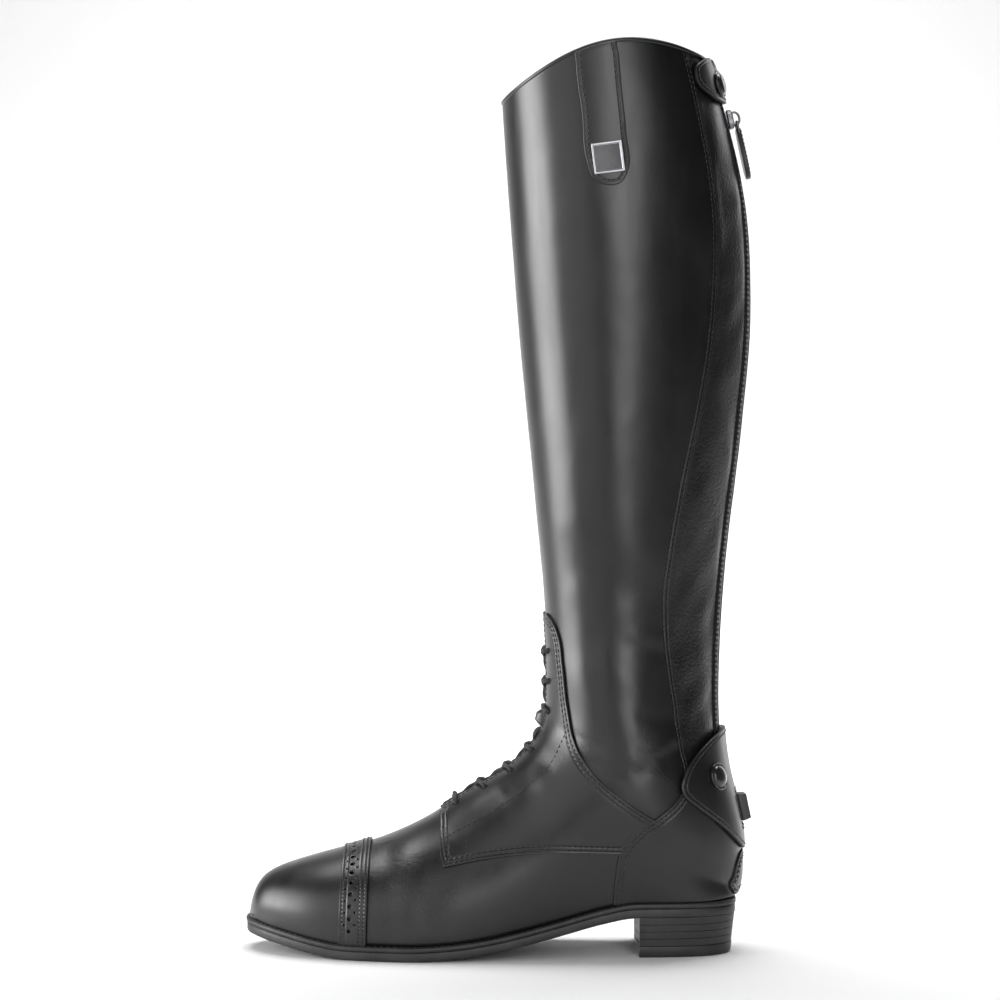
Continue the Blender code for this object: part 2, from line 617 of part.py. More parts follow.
def make_heel():
    """Stacked heel block under the outsole, and the top piece that meets the floor."""
    back_x = [row[SECTION_COLUMNS.index("back_x")] for row in SECTIONS[:FIRST_CLOSED_ROW + 1]]
    breast = np.interp(HEEL_BREAST_X, back_x, range(len(back_x)))
    places = np.append(breast, SOLE_PLACES[SOLE_PLACES > breast + 0.2])
    lateral, medial = sole_outline(HEEL_REACH, places)
    lateral[0, 0] = HEEL_BREAST_X
    medial[0, 0] = HEEL_BREAST_X
    block_top = HEEL_EDGE_Z - FOREFOOT_EDGE_Z - GAP
    block_bottom = HEEL_TOP_PIECE + GAP
    taper = 1 - (1 - HEEL_TAPER) * (block_top - block_bottom) / block_top
    levels = (
        ("heel_block", block_top, block_bottom, 1.0, taper),
        ("heel_top_piece", HEEL_TOP_PIECE, 0.0, taper, HEEL_TAPER),
    )
    for name, top, bottom, top_scale, bottom_scale in levels:
        bm = bmesh.new()
        bm.from_mesh(grid_mesh(name, np.stack((medial, lateral), axis=1)))
        copy = bmesh.ops.extrude_face_region(bm, geom=bm.faces[:])
        lower = {vert for vert in copy["geom"] if isinstance(vert, bmesh.types.BMVert)}
        for vert in bm.verts:
            scale = bottom_scale if vert in lower else top_scale
            from_breast = vert.co.x - HEEL_BREAST_X * MM
            vert.co.x = HEEL_BREAST_X * MM + from_breast * scale
            vert.co.y *= scale
            vert.co.z = (bottom if vert in lower else top) * MM
        bmesh.ops.recalc_face_normals(bm, faces=bm.faces)
        mesh = bpy.data.meshes.new(name)
        bm.to_mesh(mesh)
        bm.free()
        add_part(name, mesh, "rubber")


def strip_grid(places, arcs, from_front):
    """Grid on the boot's surface at signed arc lengths from its front or back line, medial side first."""
    grid = []
    for place in places:
        halves = {}
        for side in SIDES:
            points, _, arc = half_section(place, side)
            lengths = [abs(a) if from_front else arc[-1] - abs(a) for a in arcs if a * SIDES[side] >= 0]
            halves[side] = along(points, arc, lengths)
        lateral = [point for point, a in zip(halves["lateral"], [a for a in arcs if a <= 0]) if a < 0]
        if from_front:
            grid.append(np.vstack((halves["medial"], *[p[None] for p in lateral])))
        else:
            grid.append(np.vstack((*[p[None] for p in lateral[::-1]], halves["medial"][::-1])))
    return grid


def make_zip():
    """Woven tape behind the slot and the closed chain in it."""
    for name, ends, arcs, low, thickness in (
        ("zip_tape", ZIP_TAPE_ROWS, ZIP_TAPE_ARCS, -ZIP_TAPE_DEPTH, ZIP_TAPE_THICK),
        ("zip_chain", ZIP_CHAIN_ROWS, ZIP_CHAIN_ARCS, -WALL + ZIP_CHAIN_THICK, ZIP_CHAIN_THICK),
    ):
        rows = [ends[0], *[row for row in SKIN_ROWS if ends[0] < row <= ends[1]]]
        grid = strip_grid(rows, arcs, from_front=False)
        obj = add_part(name, grid_mesh(name, grid), "textile")
        displace(obj, "depth", low)
        thicken(obj, thickness, outward=False)


def make_tongue():
    """Tongue behind the throat, pushed out between the facings where the ankle bends."""
    rows = [row for row in SKIN_ROWS if TONGUE_ROWS[0] <= row <= TONGUE_ROWS[1]]
    hump = [*TONGUE_BULGE_ARCS, 0.0, *[-arc for arc in reversed(TONGUE_BULGE_ARCS)]]
    grid = []
    for row, middle in zip(rows, strip_grid(rows, hump, from_front=True)):
        medial = skin_columns(row, "medial")[2:0:-1]
        lateral = skin_columns(row, "lateral")[1:3]
        grid.append(np.vstack((medial, middle, lateral)))

    def bulge(r, c):
        away = (rows[r] - TONGUE_BULGE_ROW) / TONGUE_BULGE_SPREAD
        on_hump = 2 <= c < 2 + len(hump)
        across = hump[c - 2] / TONGUE_BULGE_ARCS[0] if on_hump else 1.0
        return math.exp(-away * away) * (1.0 - across * across)

    obj = add_part("tongue", grid_mesh("tongue", grid, bulge), "textile")
    obj.vertex_groups.new(name="bulge")
    displace(obj, "depth", -WALL - GAP)
    displace(obj, "bulge", TONGUE_BULGE, "bulge")
    thicken(obj, TONGUE_THICK, outward=False)


def front_point(place, arc, lift):
    """Point over the throat at a signed arc length from the front line, at a height over the surface."""
    nudge = 0.15
    reach = 1.0
    here, beside, above = (
        strip_grid([p], [a], True)[0][0] if a >= 0 else strip_grid([p], [0.0, a], True)[0][1]
        for p, a in ((place, arc), (place, arc - reach), (place + nudge, arc))
    )
    normal = Vector(beside - here).cross(Vector(above - here)).normalized()
    return Vector(here) + normal * lift


def tube_mesh(name, points, radius, sides=1):
    """Round wire through points, with flat ends."""
    curve = bpy.data.curves.new(name, "CURVE")
    curve.dimensions = "3D"
    curve.bevel_depth = radius * MM
    curve.bevel_resolution = sides
    curve.use_fill_caps = True
    spline = curve.splines.new("POLY")
    spline.points.add(len(points) - 1)
    for point, place in zip(spline.points, points):
        point.co = (*(Vector(place) * MM), 1.0)
    return curve_to_mesh(name, curve)


def make_lace():
    """Criss-cross lace, its strands joined where they cross and where they meet at an eyelet."""
    stops = (
        (EYELET_ARC, LACE_SIDE_LIFT, 0.0),
        (FACING_EDGE_ARC, LACE_SIDE_LIFT, FACING_EDGE_SHARE),
        (0.0, LACE_MIDDLE_LIFT, 0.5),
        (-FACING_EDGE_ARC, LACE_SIDE_LIFT, 1.0 - FACING_EDGE_SHARE),
        (-EYELET_ARC, LACE_SIDE_LIFT, 1.0),
    )
    strands = [[front_point(EYELET_ROWS[0], arc, lift) for arc, lift, _ in stops]]
    for low, high in zip(EYELET_ROWS, EYELET_ROWS[1:]):
        for sign in SIDES.values():
            strand = [front_point(low + (high - low) * share, sign * arc, lift) for arc, lift, share in stops]
            strands.append(strand)
    lace = add_part("lace", tube_mesh("lace", strands[0], LACE_RADIUS), "textile")
    for i, strand in enumerate(strands[1:]):
        cut(lace, add_cutter(f"lace_strand_{i}", tube_mesh("lace_strand", strand, LACE_RADIUS)), "UNION")


def surface_tree():
    """Closed-over boot surface, for finding where hardware sits."""
    bm = bmesh.new()
    bm.from_mesh(skin_mesh("surface_guide", openings=False))
    tree = BVHTree.FromBMesh(bm)
    bm.free()
    return tree


def seat(tree, start, direction, lift, tilt=0.0):
    """Frame standing on the surface: local Z points away from it and local Y runs up the boot."""
    point, normal, _, _ = tree.ray_cast(Vector(start) * MM, Vector(direction))
    up = (Vector((0, 0, 1)) - normal * normal.z).normalized()
    axes = Matrix((up.cross(normal), up, normal)).transposed().to_4x4()
    return Matrix.Translation(point + normal * lift * MM) @ axes @ Matrix.Rotation(tilt, 4, "Z")


FAR = 200.0


def side_seat(tree, place, lift, tilt=0.0):
    """Frame on the lateral side at (x, z)."""
    return seat(tree, (place[0], -FAR, place[1]), (0, 1, 0), lift, tilt)


def back_seat(tree, place, lift):
    """Frame on the back at (y, z)."""
    return seat(tree, (FAR, place[0], place[1]), (-1, 0, 0), lift)


def box_mesh(name, size, centre_z):
    """Box of a size in millimetres, centred on local Z at centre_z."""
    bm = bmesh.new()
    bmesh.ops.create_cube(bm, size=1.0)
    bmesh.ops.scale(bm, vec=Vector(size) * MM, verts=bm.verts)
    bmesh.ops.translate(bm, vec=(0, 0, centre_z * MM), verts=bm.verts)
    mesh = bpy.data.meshes.new(name)
    bm.to_mesh(mesh)
    bm.free()
    return mesh


def round_edges(obj, width, segments=2):
    """Rounded edges on a hard piece."""
    modifier = obj.modifiers.new("edges", "BEVEL")
    modifier.width = width * MM
    modifier.segments = segments


def make_snap(name, matrix):
    """Domed snap cap, turned about its axis."""
    profile = ((0.0, 1.0), (0.55, 0.97), (0.86, 0.82), (0.98, 0.5), (1.0, 0.0), (0.0, 0.0))
    bm = bmesh.new()
    verts = [bm.verts.new((r * SNAP_RADIUS * MM, 0.0, h * SNAP_HEIGHT * MM)) for r, h in profile]
    for first, second in zip(verts, verts[1:]):
        bm.edges.new((first, second))
    mesh = bpy.data.meshes.new(name)
    bm.to_mesh(mesh)
    bm.free()
    obj = add_part(name, mesh, "metal")
    turn = obj.modifiers.new("turn", "SCREW")
    turn.steps = 20
    turn.render_steps = 20
    turn.use_merge_vertices = True
    turn.merge_threshold = 1e-6
    obj.matrix_world = matrix


def make_hardware(tree):
    """Snap caps, the bare badge plate and the spur rest."""
    make_snap("heel_flap_snap", side_seat(tree, HEEL_SNAP_SEAT, HEEL_FLAP_LOW + FLAP_THICK + GAP))
    make_snap("top_flap_snap", side_seat(tree, TOP_SNAP_SEAT, TOP_FLAP_LOW + FLAP_THICK + GAP))
    plate = box_mesh("badge", (BADGE_SIDE, BADGE_SIDE, BADGE_THICK), BADGE_THICK / 2)
    badge = add_part("badge", plate, "metal")
    round_edges(badge, 0.5)
    badge.matrix_world = side_seat(tree, BADGE_SEAT, GAP + STRAP_THICK + GAP, BADGE_TILT)
    height, width, depth = SPUR_REST_SIZE
    rest = add_part("spur_rest", box_mesh("spur_rest", (width, height, depth), depth / 2), "rubber")
    round_edges(rest, 0.8)
    rest.matrix_world = back_seat(tree, SPUR_REST_SEAT, HEEL_FLAP_LOW + FLAP_THICK + GAP)


def zip_frame(tree):
    """Frame on the zip at the slider, turned so that its local X is level and square to the boot."""
    back = [read_table(SECTION_COLUMNS, SECTIONS, row) for row in range(ZIP_ROWS[0], COLLAR_ROW + 1)]
    back_y = np.interp(SLIDER_Z, [row["back_z"] for row in back], [row["back_y"] for row in back])
    frame = back_seat(tree, (back_y, SLIDER_Z), GAP)
    normal = frame.to_3x3() @ Vector((0, 0, 1))
    normal = Vector((normal.x, 0.0, normal.z)).normalized()
    across = Vector((0, 1, 0))
    axes = Matrix((across, normal.cross(across), normal)).transposed().to_4x4()
    return Matrix.Translation(frame.translation) @ axes


def make_slider(frame):
    """Slider body with the bail that holds the pull."""
    width, height, depth = SLIDER_SIZE
    body = add_part("zip_slider", box_mesh("zip_slider", SLIDER_SIZE, depth / 2), "dark_metal")
    round_edges(body, 0.7)
    top = depth + BAIL_RISE - BAIL_WIRE
    ends = BAIL_HALF_LENGTH
    route = ((0, -ends, depth - 1.0), (0, -ends, top - 0.6), (0, -ends + 0.6, top),
             (0, ends - 0.6, top), (0, ends, top - 0.6), (0, ends, depth - 1.0))
    bail = add_cutter("bail", tube_mesh("bail", route, BAIL_WIRE))
    cut(body, bail, "UNION")
    body.matrix_world = frame
    bail.matrix_world = frame


def make_pull(frame):
    """Wire link through the bail and the leather tab that hangs on it, turning about the link's top bar."""
    bar_y = -BAIL_HALF_LENGTH + BAIL_WIRE + LINK_WIRE + GAP
    bar_z = SLIDER_SIZE[2] + (BAIL_RISE - 2 * BAIL_WIRE) / 2
    hinge = bpy.data.objects.new("zip_pull_hinge", None)
    PARTS.objects.link(hinge)
    lean = Matrix.Rotation(PULL_LEAN, 4, "X")
    hinge.matrix_world = frame @ Matrix.Translation((0.0, bar_y * MM, bar_z * MM)) @ lean
    side = LINK_HALF_WIDTH
    corners = ((0.0, 0.0), (side, 0.0), (side, -LINK_LENGTH), (-side, -LINK_LENGTH), (-side, 0.0))
    curve = bpy.data.curves.new("zip_pull_link", "CURVE")
    curve.dimensions = "3D"
    curve.bevel_depth = LINK_WIRE * MM
    curve.bevel_resolution = 2
    spline = curve.splines.new("POLY")
    spline.points.add(len(corners) - 1)
    spline.use_cyclic_u = True
    for point, (x, y) in zip(spline.points, corners):
        point.co = (x * MM, y * MM, 0.0, 1.0)
    link = add_part("zip_pull_link", curve_to_mesh("zip_pull_link", curve), "dark_metal")
    link.parent = hinge
    top = -LINK_LENGTH + TAB_EYE_INSET
    bottom = top - TAB_LENGTH
    tab_outline = (
        (-TAB_TOP_HALF, top, True), (-TAB_END_HALF, bottom + 14.0, False),
        (-TAB_END_HALF + 0.6, bottom + 5.0, False), (0.0, bottom, False),
        (TAB_END_HALF - 0.6, bottom + 5.0, False), (TAB_END_HALF, bottom + 14.0, False),
        (TAB_TOP_HALF, top, True),
    )
    tab = add_part("zip_pull_tab", outline_mesh("zip_pull_tab", tab_outline, TAB_THICK / 2), "overlay_leather")
    eye_route = ((-TAB_CUT_HALF, -LINK_LENGTH, 0), (TAB_CUT_HALF, -LINK_LENGTH, 0))
    eye = add_cutter("tab_eye", tube_mesh("tab_eye", eye_route, TAB_EYE))
    cut(tab, eye, "DIFFERENCE")
    tab.parent = hinge
    eye.parent = hinge


def build():
    """Make every piece of the boot."""
    clear_scene()
    make_upper()
    make_sole()
    make_heel()
    make_tongue()
    make_overlays()
    make_zip()
    make_lace()
    tree = surface_tree()
    make_hardware(tree)
    frame = zip_frame(tree)
    make_slider(frame)
    make_pull(frame)
    for obj in PARTS.objects:
        if obj.type == "MESH":
            obj.data.shade_smooth()
            obj.data.set_sharp_from_angle(angle=math.radians(35))


build()
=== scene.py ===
"""Finished look of the tall laced riding boot for the left foot.

The leather panels, linings, seams, lace, zip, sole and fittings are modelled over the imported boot, and a
small studio is set round it. Lengths in the tables are millimetres and the scene is in metres: the toe
points along -X, the outer (lateral) side faces -Y, the inner (medial) side faces +Y and +Z is up.
"""

import contextlib
import functools
import math

import bmesh
import bpy
import numpy as np
from bpy.props import FloatProperty, FloatVectorProperty, PointerProperty
from mathutils import Matrix, Vector, kdtree, noise
from mathutils.bvhtree import BVHTree
from mathutils.geometry import delaunay_2d_cdt


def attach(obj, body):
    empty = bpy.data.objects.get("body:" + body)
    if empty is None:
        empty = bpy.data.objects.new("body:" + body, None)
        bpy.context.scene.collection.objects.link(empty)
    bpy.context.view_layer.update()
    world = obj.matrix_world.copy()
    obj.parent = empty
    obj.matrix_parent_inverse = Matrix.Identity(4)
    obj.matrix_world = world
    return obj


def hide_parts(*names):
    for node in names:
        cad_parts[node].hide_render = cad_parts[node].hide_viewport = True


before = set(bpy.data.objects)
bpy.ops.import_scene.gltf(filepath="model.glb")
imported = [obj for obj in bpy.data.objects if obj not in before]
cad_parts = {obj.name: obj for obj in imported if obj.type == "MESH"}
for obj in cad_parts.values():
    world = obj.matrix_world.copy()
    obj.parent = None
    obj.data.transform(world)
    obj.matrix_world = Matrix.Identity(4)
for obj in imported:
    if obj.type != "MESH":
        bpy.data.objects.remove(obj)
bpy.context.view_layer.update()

bl_info = {
    "name": "Riding Boot Finish",
    "version": (1, 0, 0),
    "blender": (4, 5, 0),
    "location": "3D View > Sidebar > Boot",
    "description": "Models the leather, seams, zip, lace, sole and studio of a tall riding boot",
    "category": "Object",
}

MM = 0.001
SIDES = {"lateral": -1, "medial": 1}

# The boot is a fan of flat sections. Each runs from a front or top point to a back or bottom point in
# the middle plane, bulges to the two sides, and ends on the back line or at the sole edge.
SECTION_COLUMNS = (
    "front_x", "front_z", "back_x", "back_z", "front_y", "back_y",
    "lateral", "medial", "lateral_end", "medial_end",
)
SECTIONS = (
    # toe, from its nose to the ball
    (-245.6, 18.8, -245.6, 17.8, 7.0, 7.0, 7.0, 7.0, 7.0, 7.0),
    (-244.4, 28.0, -244.6, 17.6, 7.0, 7.0, -2.0, 16.0, -1.0, 15.0),
    (-240.6, 36.4, -240.4, 16.6, 6.7, 6.7, -9.5, 22.3, -8.3, 21.0),
    (-234.2, 41.5, -234.0, 15.4, 6.2, 6.2, -17.3, 28.5, -16.2, 27.0),
    (-223.5, 45.9, -223.5, 13.4, 5.3, 5.3, -25.8, 35.0, -24.5, 33.6),
    (-209.0, 50.5, -209.5, 10.7, 4.0, 4.0, -34.2, 40.7, -32.6, 39.2),
    (-192.0, 55.2, -192.0, 8.35, 3.0, 2.5, -41.0, 44.6, -39.2, 43.0),
    (-175.0, 60.4, -174.0, 8.35, 2.5, 1.0, -46.0, 46.2, -44.0, 44.3),
    (-160.0, 66.6, -155.0, 8.35, 2.0, 0.0, -48.6, 45.4, -46.6, 43.2),
    (-146.5, 73.6, -135.0, 9.4, 1.8, 0.0, -48.6, 42.8, -46.0, 39.0),
    # instep and waist
    (-135.0, 81.2, -115.0, 11.9, 1.5, 0.0, -47.0, 40.4, -43.2, 34.4),
    (-122.5, 88.6, -94.0, 16.2, 1.2, 0.0, -45.2, 39.4, -39.4, 30.4),
    (-110.0, 95.6, -73.0, 21.4, 1.0, 0.0, -43.6, 39.2, -36.0, 28.6),
    (-99.5, 103.0, -52.0, 26.9, 0.8, 0.0, -43.0, 39.6, -33.6, 29.0),
    (-91.0, 111.5, -34.0, 30.0, 0.6, 0.0, -43.2, 40.4, -32.2, 30.2),
    (-85.6, 119.4, -14.0, 30.0, 0.4, 0.0, -43.6, 41.2, -31.4, 30.6),
    (-83.0, 126.0, 4.0, 30.2, 0.2, 0.0, -44.0, 41.8, -27.5, 27.5),
    (-82.3, 130.2, 16.0, 30.6, 0.0, 0.0, -44.2, 42.2, -18.0, 18.0),
    (-82.1, 132.8, 20.9, 30.7, 0.0, 0.0, -44.3, 42.4, -7.7, 7.7),
    # heel and ankle, closed round the back from here up
    (-82.0, 135.0, 22.2, 30.9, 0.0, 0.0, -44.3, 42.5, 0.0, 0.0),
    (-81.9, 139.0, 24.4, 43.0, 0.0, 0.0, -44.2, 42.5, 0.0, 0.0),
    (-81.8, 145.0, 24.0, 60.0, 0.0, 0.5, -44.0, 42.5, 0.5, 0.5),
    (-81.8, 151.5, 20.4, 80.0, 0.0, 1.2, -43.7, 42.4, 1.2, 1.2),
    (-82.0, 159.5, 15.6, 100.0, 0.0, 2.2, -43.2, 42.2, 2.2, 2.2),
    (-82.4, 169.5, 13.0, 121.0, 0.0, 3.0, -42.6, 42.0, 3.0, 3.0),
    (-83.2, 181.0, 12.3, 143.0, 0.0, 3.4, -42.3, 42.0, 3.4, 3.4),
    (-84.2, 194.5, 12.6, 166.0, 0.0, 3.3, -42.6, 42.0, 3.3, 3.3),
    # shaft up to the collar
    (-85.3, 210.0, 14.0, 190.0, -0.6, 3.1, -44.0, 42.4, 3.1, 3.1),
    (-87.3, 231.0, 16.6, 219.0, -1.2, 2.8, -46.0, 42.7, 2.8, 2.8),
    (-89.6, 255.0, 20.4, 251.0, -2.2, 2.0, -48.8, 43.0, 2.0, 2.0),
    (-93.7, 296.0, 25.5, 296.0, -3.5, 1.2, -51.5, 42.6, 1.2, 1.2),
    (-98.0, 340.0, 29.5, 340.0, -5.0, 0.5, -54.7, 42.0, 0.5, 0.5),
    (-101.6, 384.0, 29.0, 384.0, -7.0, -1.0, -58.0, 41.0, -1.0, -1.0),
    (-104.7, 428.0, 22.0, 430.0, -8.5, -2.6, -60.0, 39.0, -2.6, -2.6),
    (-107.0, 463.0, 6.5, 484.0, -9.0, -3.0, -60.0, 38.0, -3.0, -3.0),
)
FIRST_CLOSED_ROW = 19
COLLAR_ROW = len(SECTIONS) - 1
FINE_STEPS = 40

# How far along a section it is widest, and how square its front and its back are
SHAPE_COLUMNS = ("row", "widest", "front_round", "back_round")
SHAPES = (
    (0, 0.72, 2.2, 2.6), (4, 0.72, 2.2, 2.8), (7, 0.74, 2.05, 3.0), (10, 0.68, 1.95, 2.4),
    (12, 0.58, 2.0, 1.7), (14, 0.47, 2.05, 1.3), (16, 0.44, 2.1, 1.25), (17, 0.43, 2.1, 1.5),
    (18, 0.43, 2.1, 1.7), (19, 0.42, 2.15, 1.8), (22, 0.42, 2.2, 1.8), (25, 0.42, 2.15, 1.8),
    (31, 0.41, 2.1, 1.8), (34, 0.42, 2.1, 2.5),
)

# The seam between front and rear panels, as a share of each section's depth
SEAM_COLUMNS = ("row", "lateral", "medial")
SEAMS = (
    (0, 0.30, 0.30), (8, 0.36, 0.36), (14, 0.55, 0.55), (20, 0.75, 0.76), (22, 0.757, 0.80),
    (24, 0.75, 0.79), (25, 0.726, 0.765), (26, 0.704, 0.74), (27, 0.695, 0.73), (28, 0.713, 0.735),
    (29, 0.743, 0.76), (30, 0.794, 0.80), (31, 0.832, 0.845), (32, 0.855, 0.875), (33, 0.871, 0.895),
    (34, 0.875, 0.90),
)

# The collar stands higher on the outer side of the knee and dips on the inner side
COLLAR_COLUMNS = ("row", "lateral", "medial")
COLLAR = ((0, 0.0, 0.0), (32, 0.0, 0.0), (33, 6.0, -2.0), (34, 18.5, -5.5))

# Grid of the smooth surface that every panel is cut from
ROW_SPACING = 2.0
SPINE_STEP = 0.05
COLUMNS_A_SIDE = 64
FOOT_BLUR = 2.2
SHAFT_BLUR = 7.0
COLUMN_BLUR = 2.0
EDGE_COLUMNS = 9

# Leather: walls, heights over the surface, stitch rows from an edge, and the throat under the lacing
FRONT_WALL = 1.3
REAR_WALL = 0.5
LINING_LOW = -1.9
SEAM_DROP = 0.9
OVERLAY_LOW = 0.3
OVERLAY_TOP = 1.5
COUNTER_WALL = 1.25
STRAP_WALL = 1.4
SEAM_ROWS = (1.8, 4.2)
PANEL_ROWS = (1.8, 4.0)
PATCH_ROWS = (1.7, 3.5)
FAR_FROM_EDGE = 20.0
THROAT_HALF = 5.5
THROAT_PLACES = (10.0, 25.0)
SEAM_START = 22.0
REAR_START = 21.4
FRONT_COLUMNS = 52
REAR_COLUMNS = 30
REAR_UNDERLAP = 4.0
REAR_END = 7.0
SMOOTH_ANGLE = 48.0
BINDING_RADIUS = 1.35
BINDING_LOW = -0.85

# Soft folds, as (x, z) ends on one side of the boot, reach of the fold, and its height.
# A negative height is a trough.
SIDE_FOLDS = (
    # long trough under the facing's stitch line, with the puffed ridge beside it
    (-72.0, 121.0, -83.0, 104.0, 4.2, -0.43), (-83.0, 104.0, -104.0, 88.0, 4.4, -0.50),
    (-104.0, 88.0, -132.0, 68.0, 4.4, -0.37), (-84.0, 113.0, -103.0, 96.0, 5.9, 0.56),
    (-103.0, 96.0, -122.0, 82.0, 5.9, 0.37), (-66.0, 112.0, -84.0, 95.0, 6.5, 0.37),
    # ankle folds that fan out behind the facing
    (-66.0, 119.5, -52.0, 116.0, 2.3, -0.37), (-64.0, 113.0, -49.0, 108.0, 2.3, 0.31),
    (-62.0, 107.0, -44.0, 101.0, 2.9, -0.37), (-58.0, 101.0, -44.0, 94.0, 2.6, 0.25),
    (-12.0, 113.0, -33.0, 102.0, 3.9, -0.50), (-14.0, 119.0, -36.0, 108.0, 4.5, 0.37),
    (-10.0, 128.0, -30.0, 131.0, 5.2, -0.31), (-22.0, 166.0, -38.0, 170.0, 4.2, -0.22),
    (-20.0, 173.0, -34.0, 176.0, 4.2, 0.15),
    # slack in the lower shaft
    (-30.0, 196.0, -62.0, 214.0, 11.7, -0.43), (-28.0, 222.0, -66.0, 240.0, 14.3, 0.37),
    (-34.0, 150.0, -58.0, 158.0, 10.4, 0.31),
    # vamp flex behind the toe cap
    (-169.0, 58.0, -166.0, 16.0, 5.2, -0.37), (-160.0, 62.0, -156.0, 14.0, 6.5, 0.31),
    (-150.0, 52.0, -148.0, 22.0, 4.5, -0.22),
)

# Unevenness of the leather: its size, how much longer it is up the boot, and its height
SLACK = ((34.0, 1.7, 0.42), (13.0, 1.0, 0.09))

# Where the leather has worked: centre (x, z), reach and strength of its fine wrinkling
WORKED_PLACES = (
    (-160.0, 38.0, 24.0, 1.0), (-108.0, 82.0, 18.0, 0.5), (-60.0, 106.0, 18.0, 0.7),
    (-24.0, 112.0, 18.0, 0.6), (-80.0, 112.0, 14.0, 0.6),
)

# Toe cap and its punched strip
STRIP_FRONT_X = -194.2
STRIP_REAR_X = -179.4
STRIP_LEAN = 0.03
CAP_ROWS = 64
CAP_TOP = 0.9
CAP_WALL = 0.7
STRIP_LOW = 0.85
STRIP_THICK = 0.9
PUNCH_ACROSS = 9.0
SMALL_PUNCHES_ACROSS = (6.2, 11.8)

# Edges of the sewn-on panels seen from the side, as (x, z)
QUARTER_FRONT = ((-140.3, 78.6), (-140.3, 70.0), (-140.2, 62.0), (-139.6, 55.0), (-138.2, 50.2))
QUARTER_LOWER = ((-138.2, 50.2), (-114.8, 55.0), (-86.7, 58.1), (-66.0, 57.8), (-40.0, 57.0))
QUARTER_HIDDEN = ((-40.0, 57.0), (-36.0, 64.0), (-30.0, 70.0), (-23.0, 75.0))
QUARTER_UPPER = (
    (-23.0, 75.0), (-34.0, 81.6), (-44.0, 88.6), (-57.2, 100.4), (-66.4, 115.0), (-70.8, 135.0),
    (-73.4, 158.0), (-75.6, 174.0), (-78.6, 181.6), (-81.6, 185.0),
)
QUARTER_LINE = (
    (-71.7, 121.0), (-74.4, 115.3), (-76.6, 110.4), (-80.5, 103.8), (-88.9, 95.5), (-97.2, 88.4),
    (-103.8, 83.6), (-110.0, 79.6), (-136.4, 65.1),
)
QUARTER_BARS_X = (-134.8, -126.0)
COUNTER_EDGE = (
    (-46.8, 28.0), (-45.6, 44.0), (-43.2, 57.4), (-38.9, 64.2), (-32.8, 70.7), (-23.6, 76.9),
    (-14.4, 84.4), (-8.0, 92.0), (2.0, 97.0), (12.0, 99.0),
)
STRAP_EDGE = (
    (-67.9, 482.0), (-67.1, 472.1), (-64.7, 455.4), (-61.8, 428.0), (-58.6, 419.6), (-51.0, 416.0),
    (-43.8, 417.4), (-40.2, 424.0), (-41.2, 443.0), (-43.6, 466.0), (-45.2, 484.0),
)

# Outlines of the pieces at the back, as (y, z)
HEEL_FLAP_OUTLINE = (
    (6.4, 122.5), (-8.0, 120.8), (-19.6, 116.8), (-28.8, 110.2), (-35.2, 101.4), (-37.6, 94.2),
    (-37.2, 87.6), (-33.8, 81.4), (-28.8, 75.2), (-22.6, 68.8), (-14.6, 61.6), (-5.0, 56.3),
    (8.2, 55.8), (15.6, 60.5), (23.0, 68.8), (28.6, 75.4), (33.6, 81.6), (36.4, 88.0), (36.8, 94.4),
    (34.8, 101.6), (31.0, 110.4), (22.0, 118.4),
)
TOP_FLAP_OUTLINE = (
    (21.4, 474.0), (18.4, 467.6), (8.0, 464.9), (-15.9, 462.2), (-33.0, 464.6), (-42.0, 471.0),
    (-41.4, 479.5), (-33.0, 484.6), (-10.0, 482.0), (10.0, 480.6), (19.0, 479.0),
)
HEEL_PATCH_OUTLINE = (
    (-13.9, 33.6), (-13.2, 32.4), (0.6, 32.0), (14.5, 32.4), (15.2, 33.6), (15.0, 41.0), (14.0, 48.4),
    (10.0, 53.4), (0.6, 54.8), (-8.7, 53.4), (-12.8, 48.4), (-13.8, 41.0),
)
HEEL_FLAP_LOW = 1.6
FLAP_THICK = 2.2
TOP_FLAP_LOW = 0.6
TOP_FLAP_SEWN = 478.0
PATCH_LOW = 1.3
PATCH_THICK = 1.2

# Fittings, with the caps' and blocks' top faces worked in steps of (inset, rise)
SNAP_RADIUS = 7.6
SNAP_DEPTH = 1.2
SNAP_STEPS = (
    (0.55, 0.35), (0.5, -0.75), (0.35, 0.0), (0.3, 1.0), (0.8, 0.75), (1.6, 0.5), (1.8, 0.22), (1.2, 0.05),
)
HEEL_SNAP_SEAT = (7.8, 96.5)
TOP_SNAP_SEAT = (7.9, 471.5)
BADGE_SIDE = 16.3
BADGE_DEPTH = 1.7
BADGE_STEPS = ((1.0, 0.0), (0.25, -0.55))
BADGE_SEAT = (-51.0, 430.5)
BADGE_TILT = math.radians(7.5)
SPUR_REST_SIZE = (11.3, 15.2, 4.7)
SPUR_REST_STEPS = ((1.4, 0.0), (0.4, -0.4))
SPUR_REST_SEAT = (3.0, 77.0)

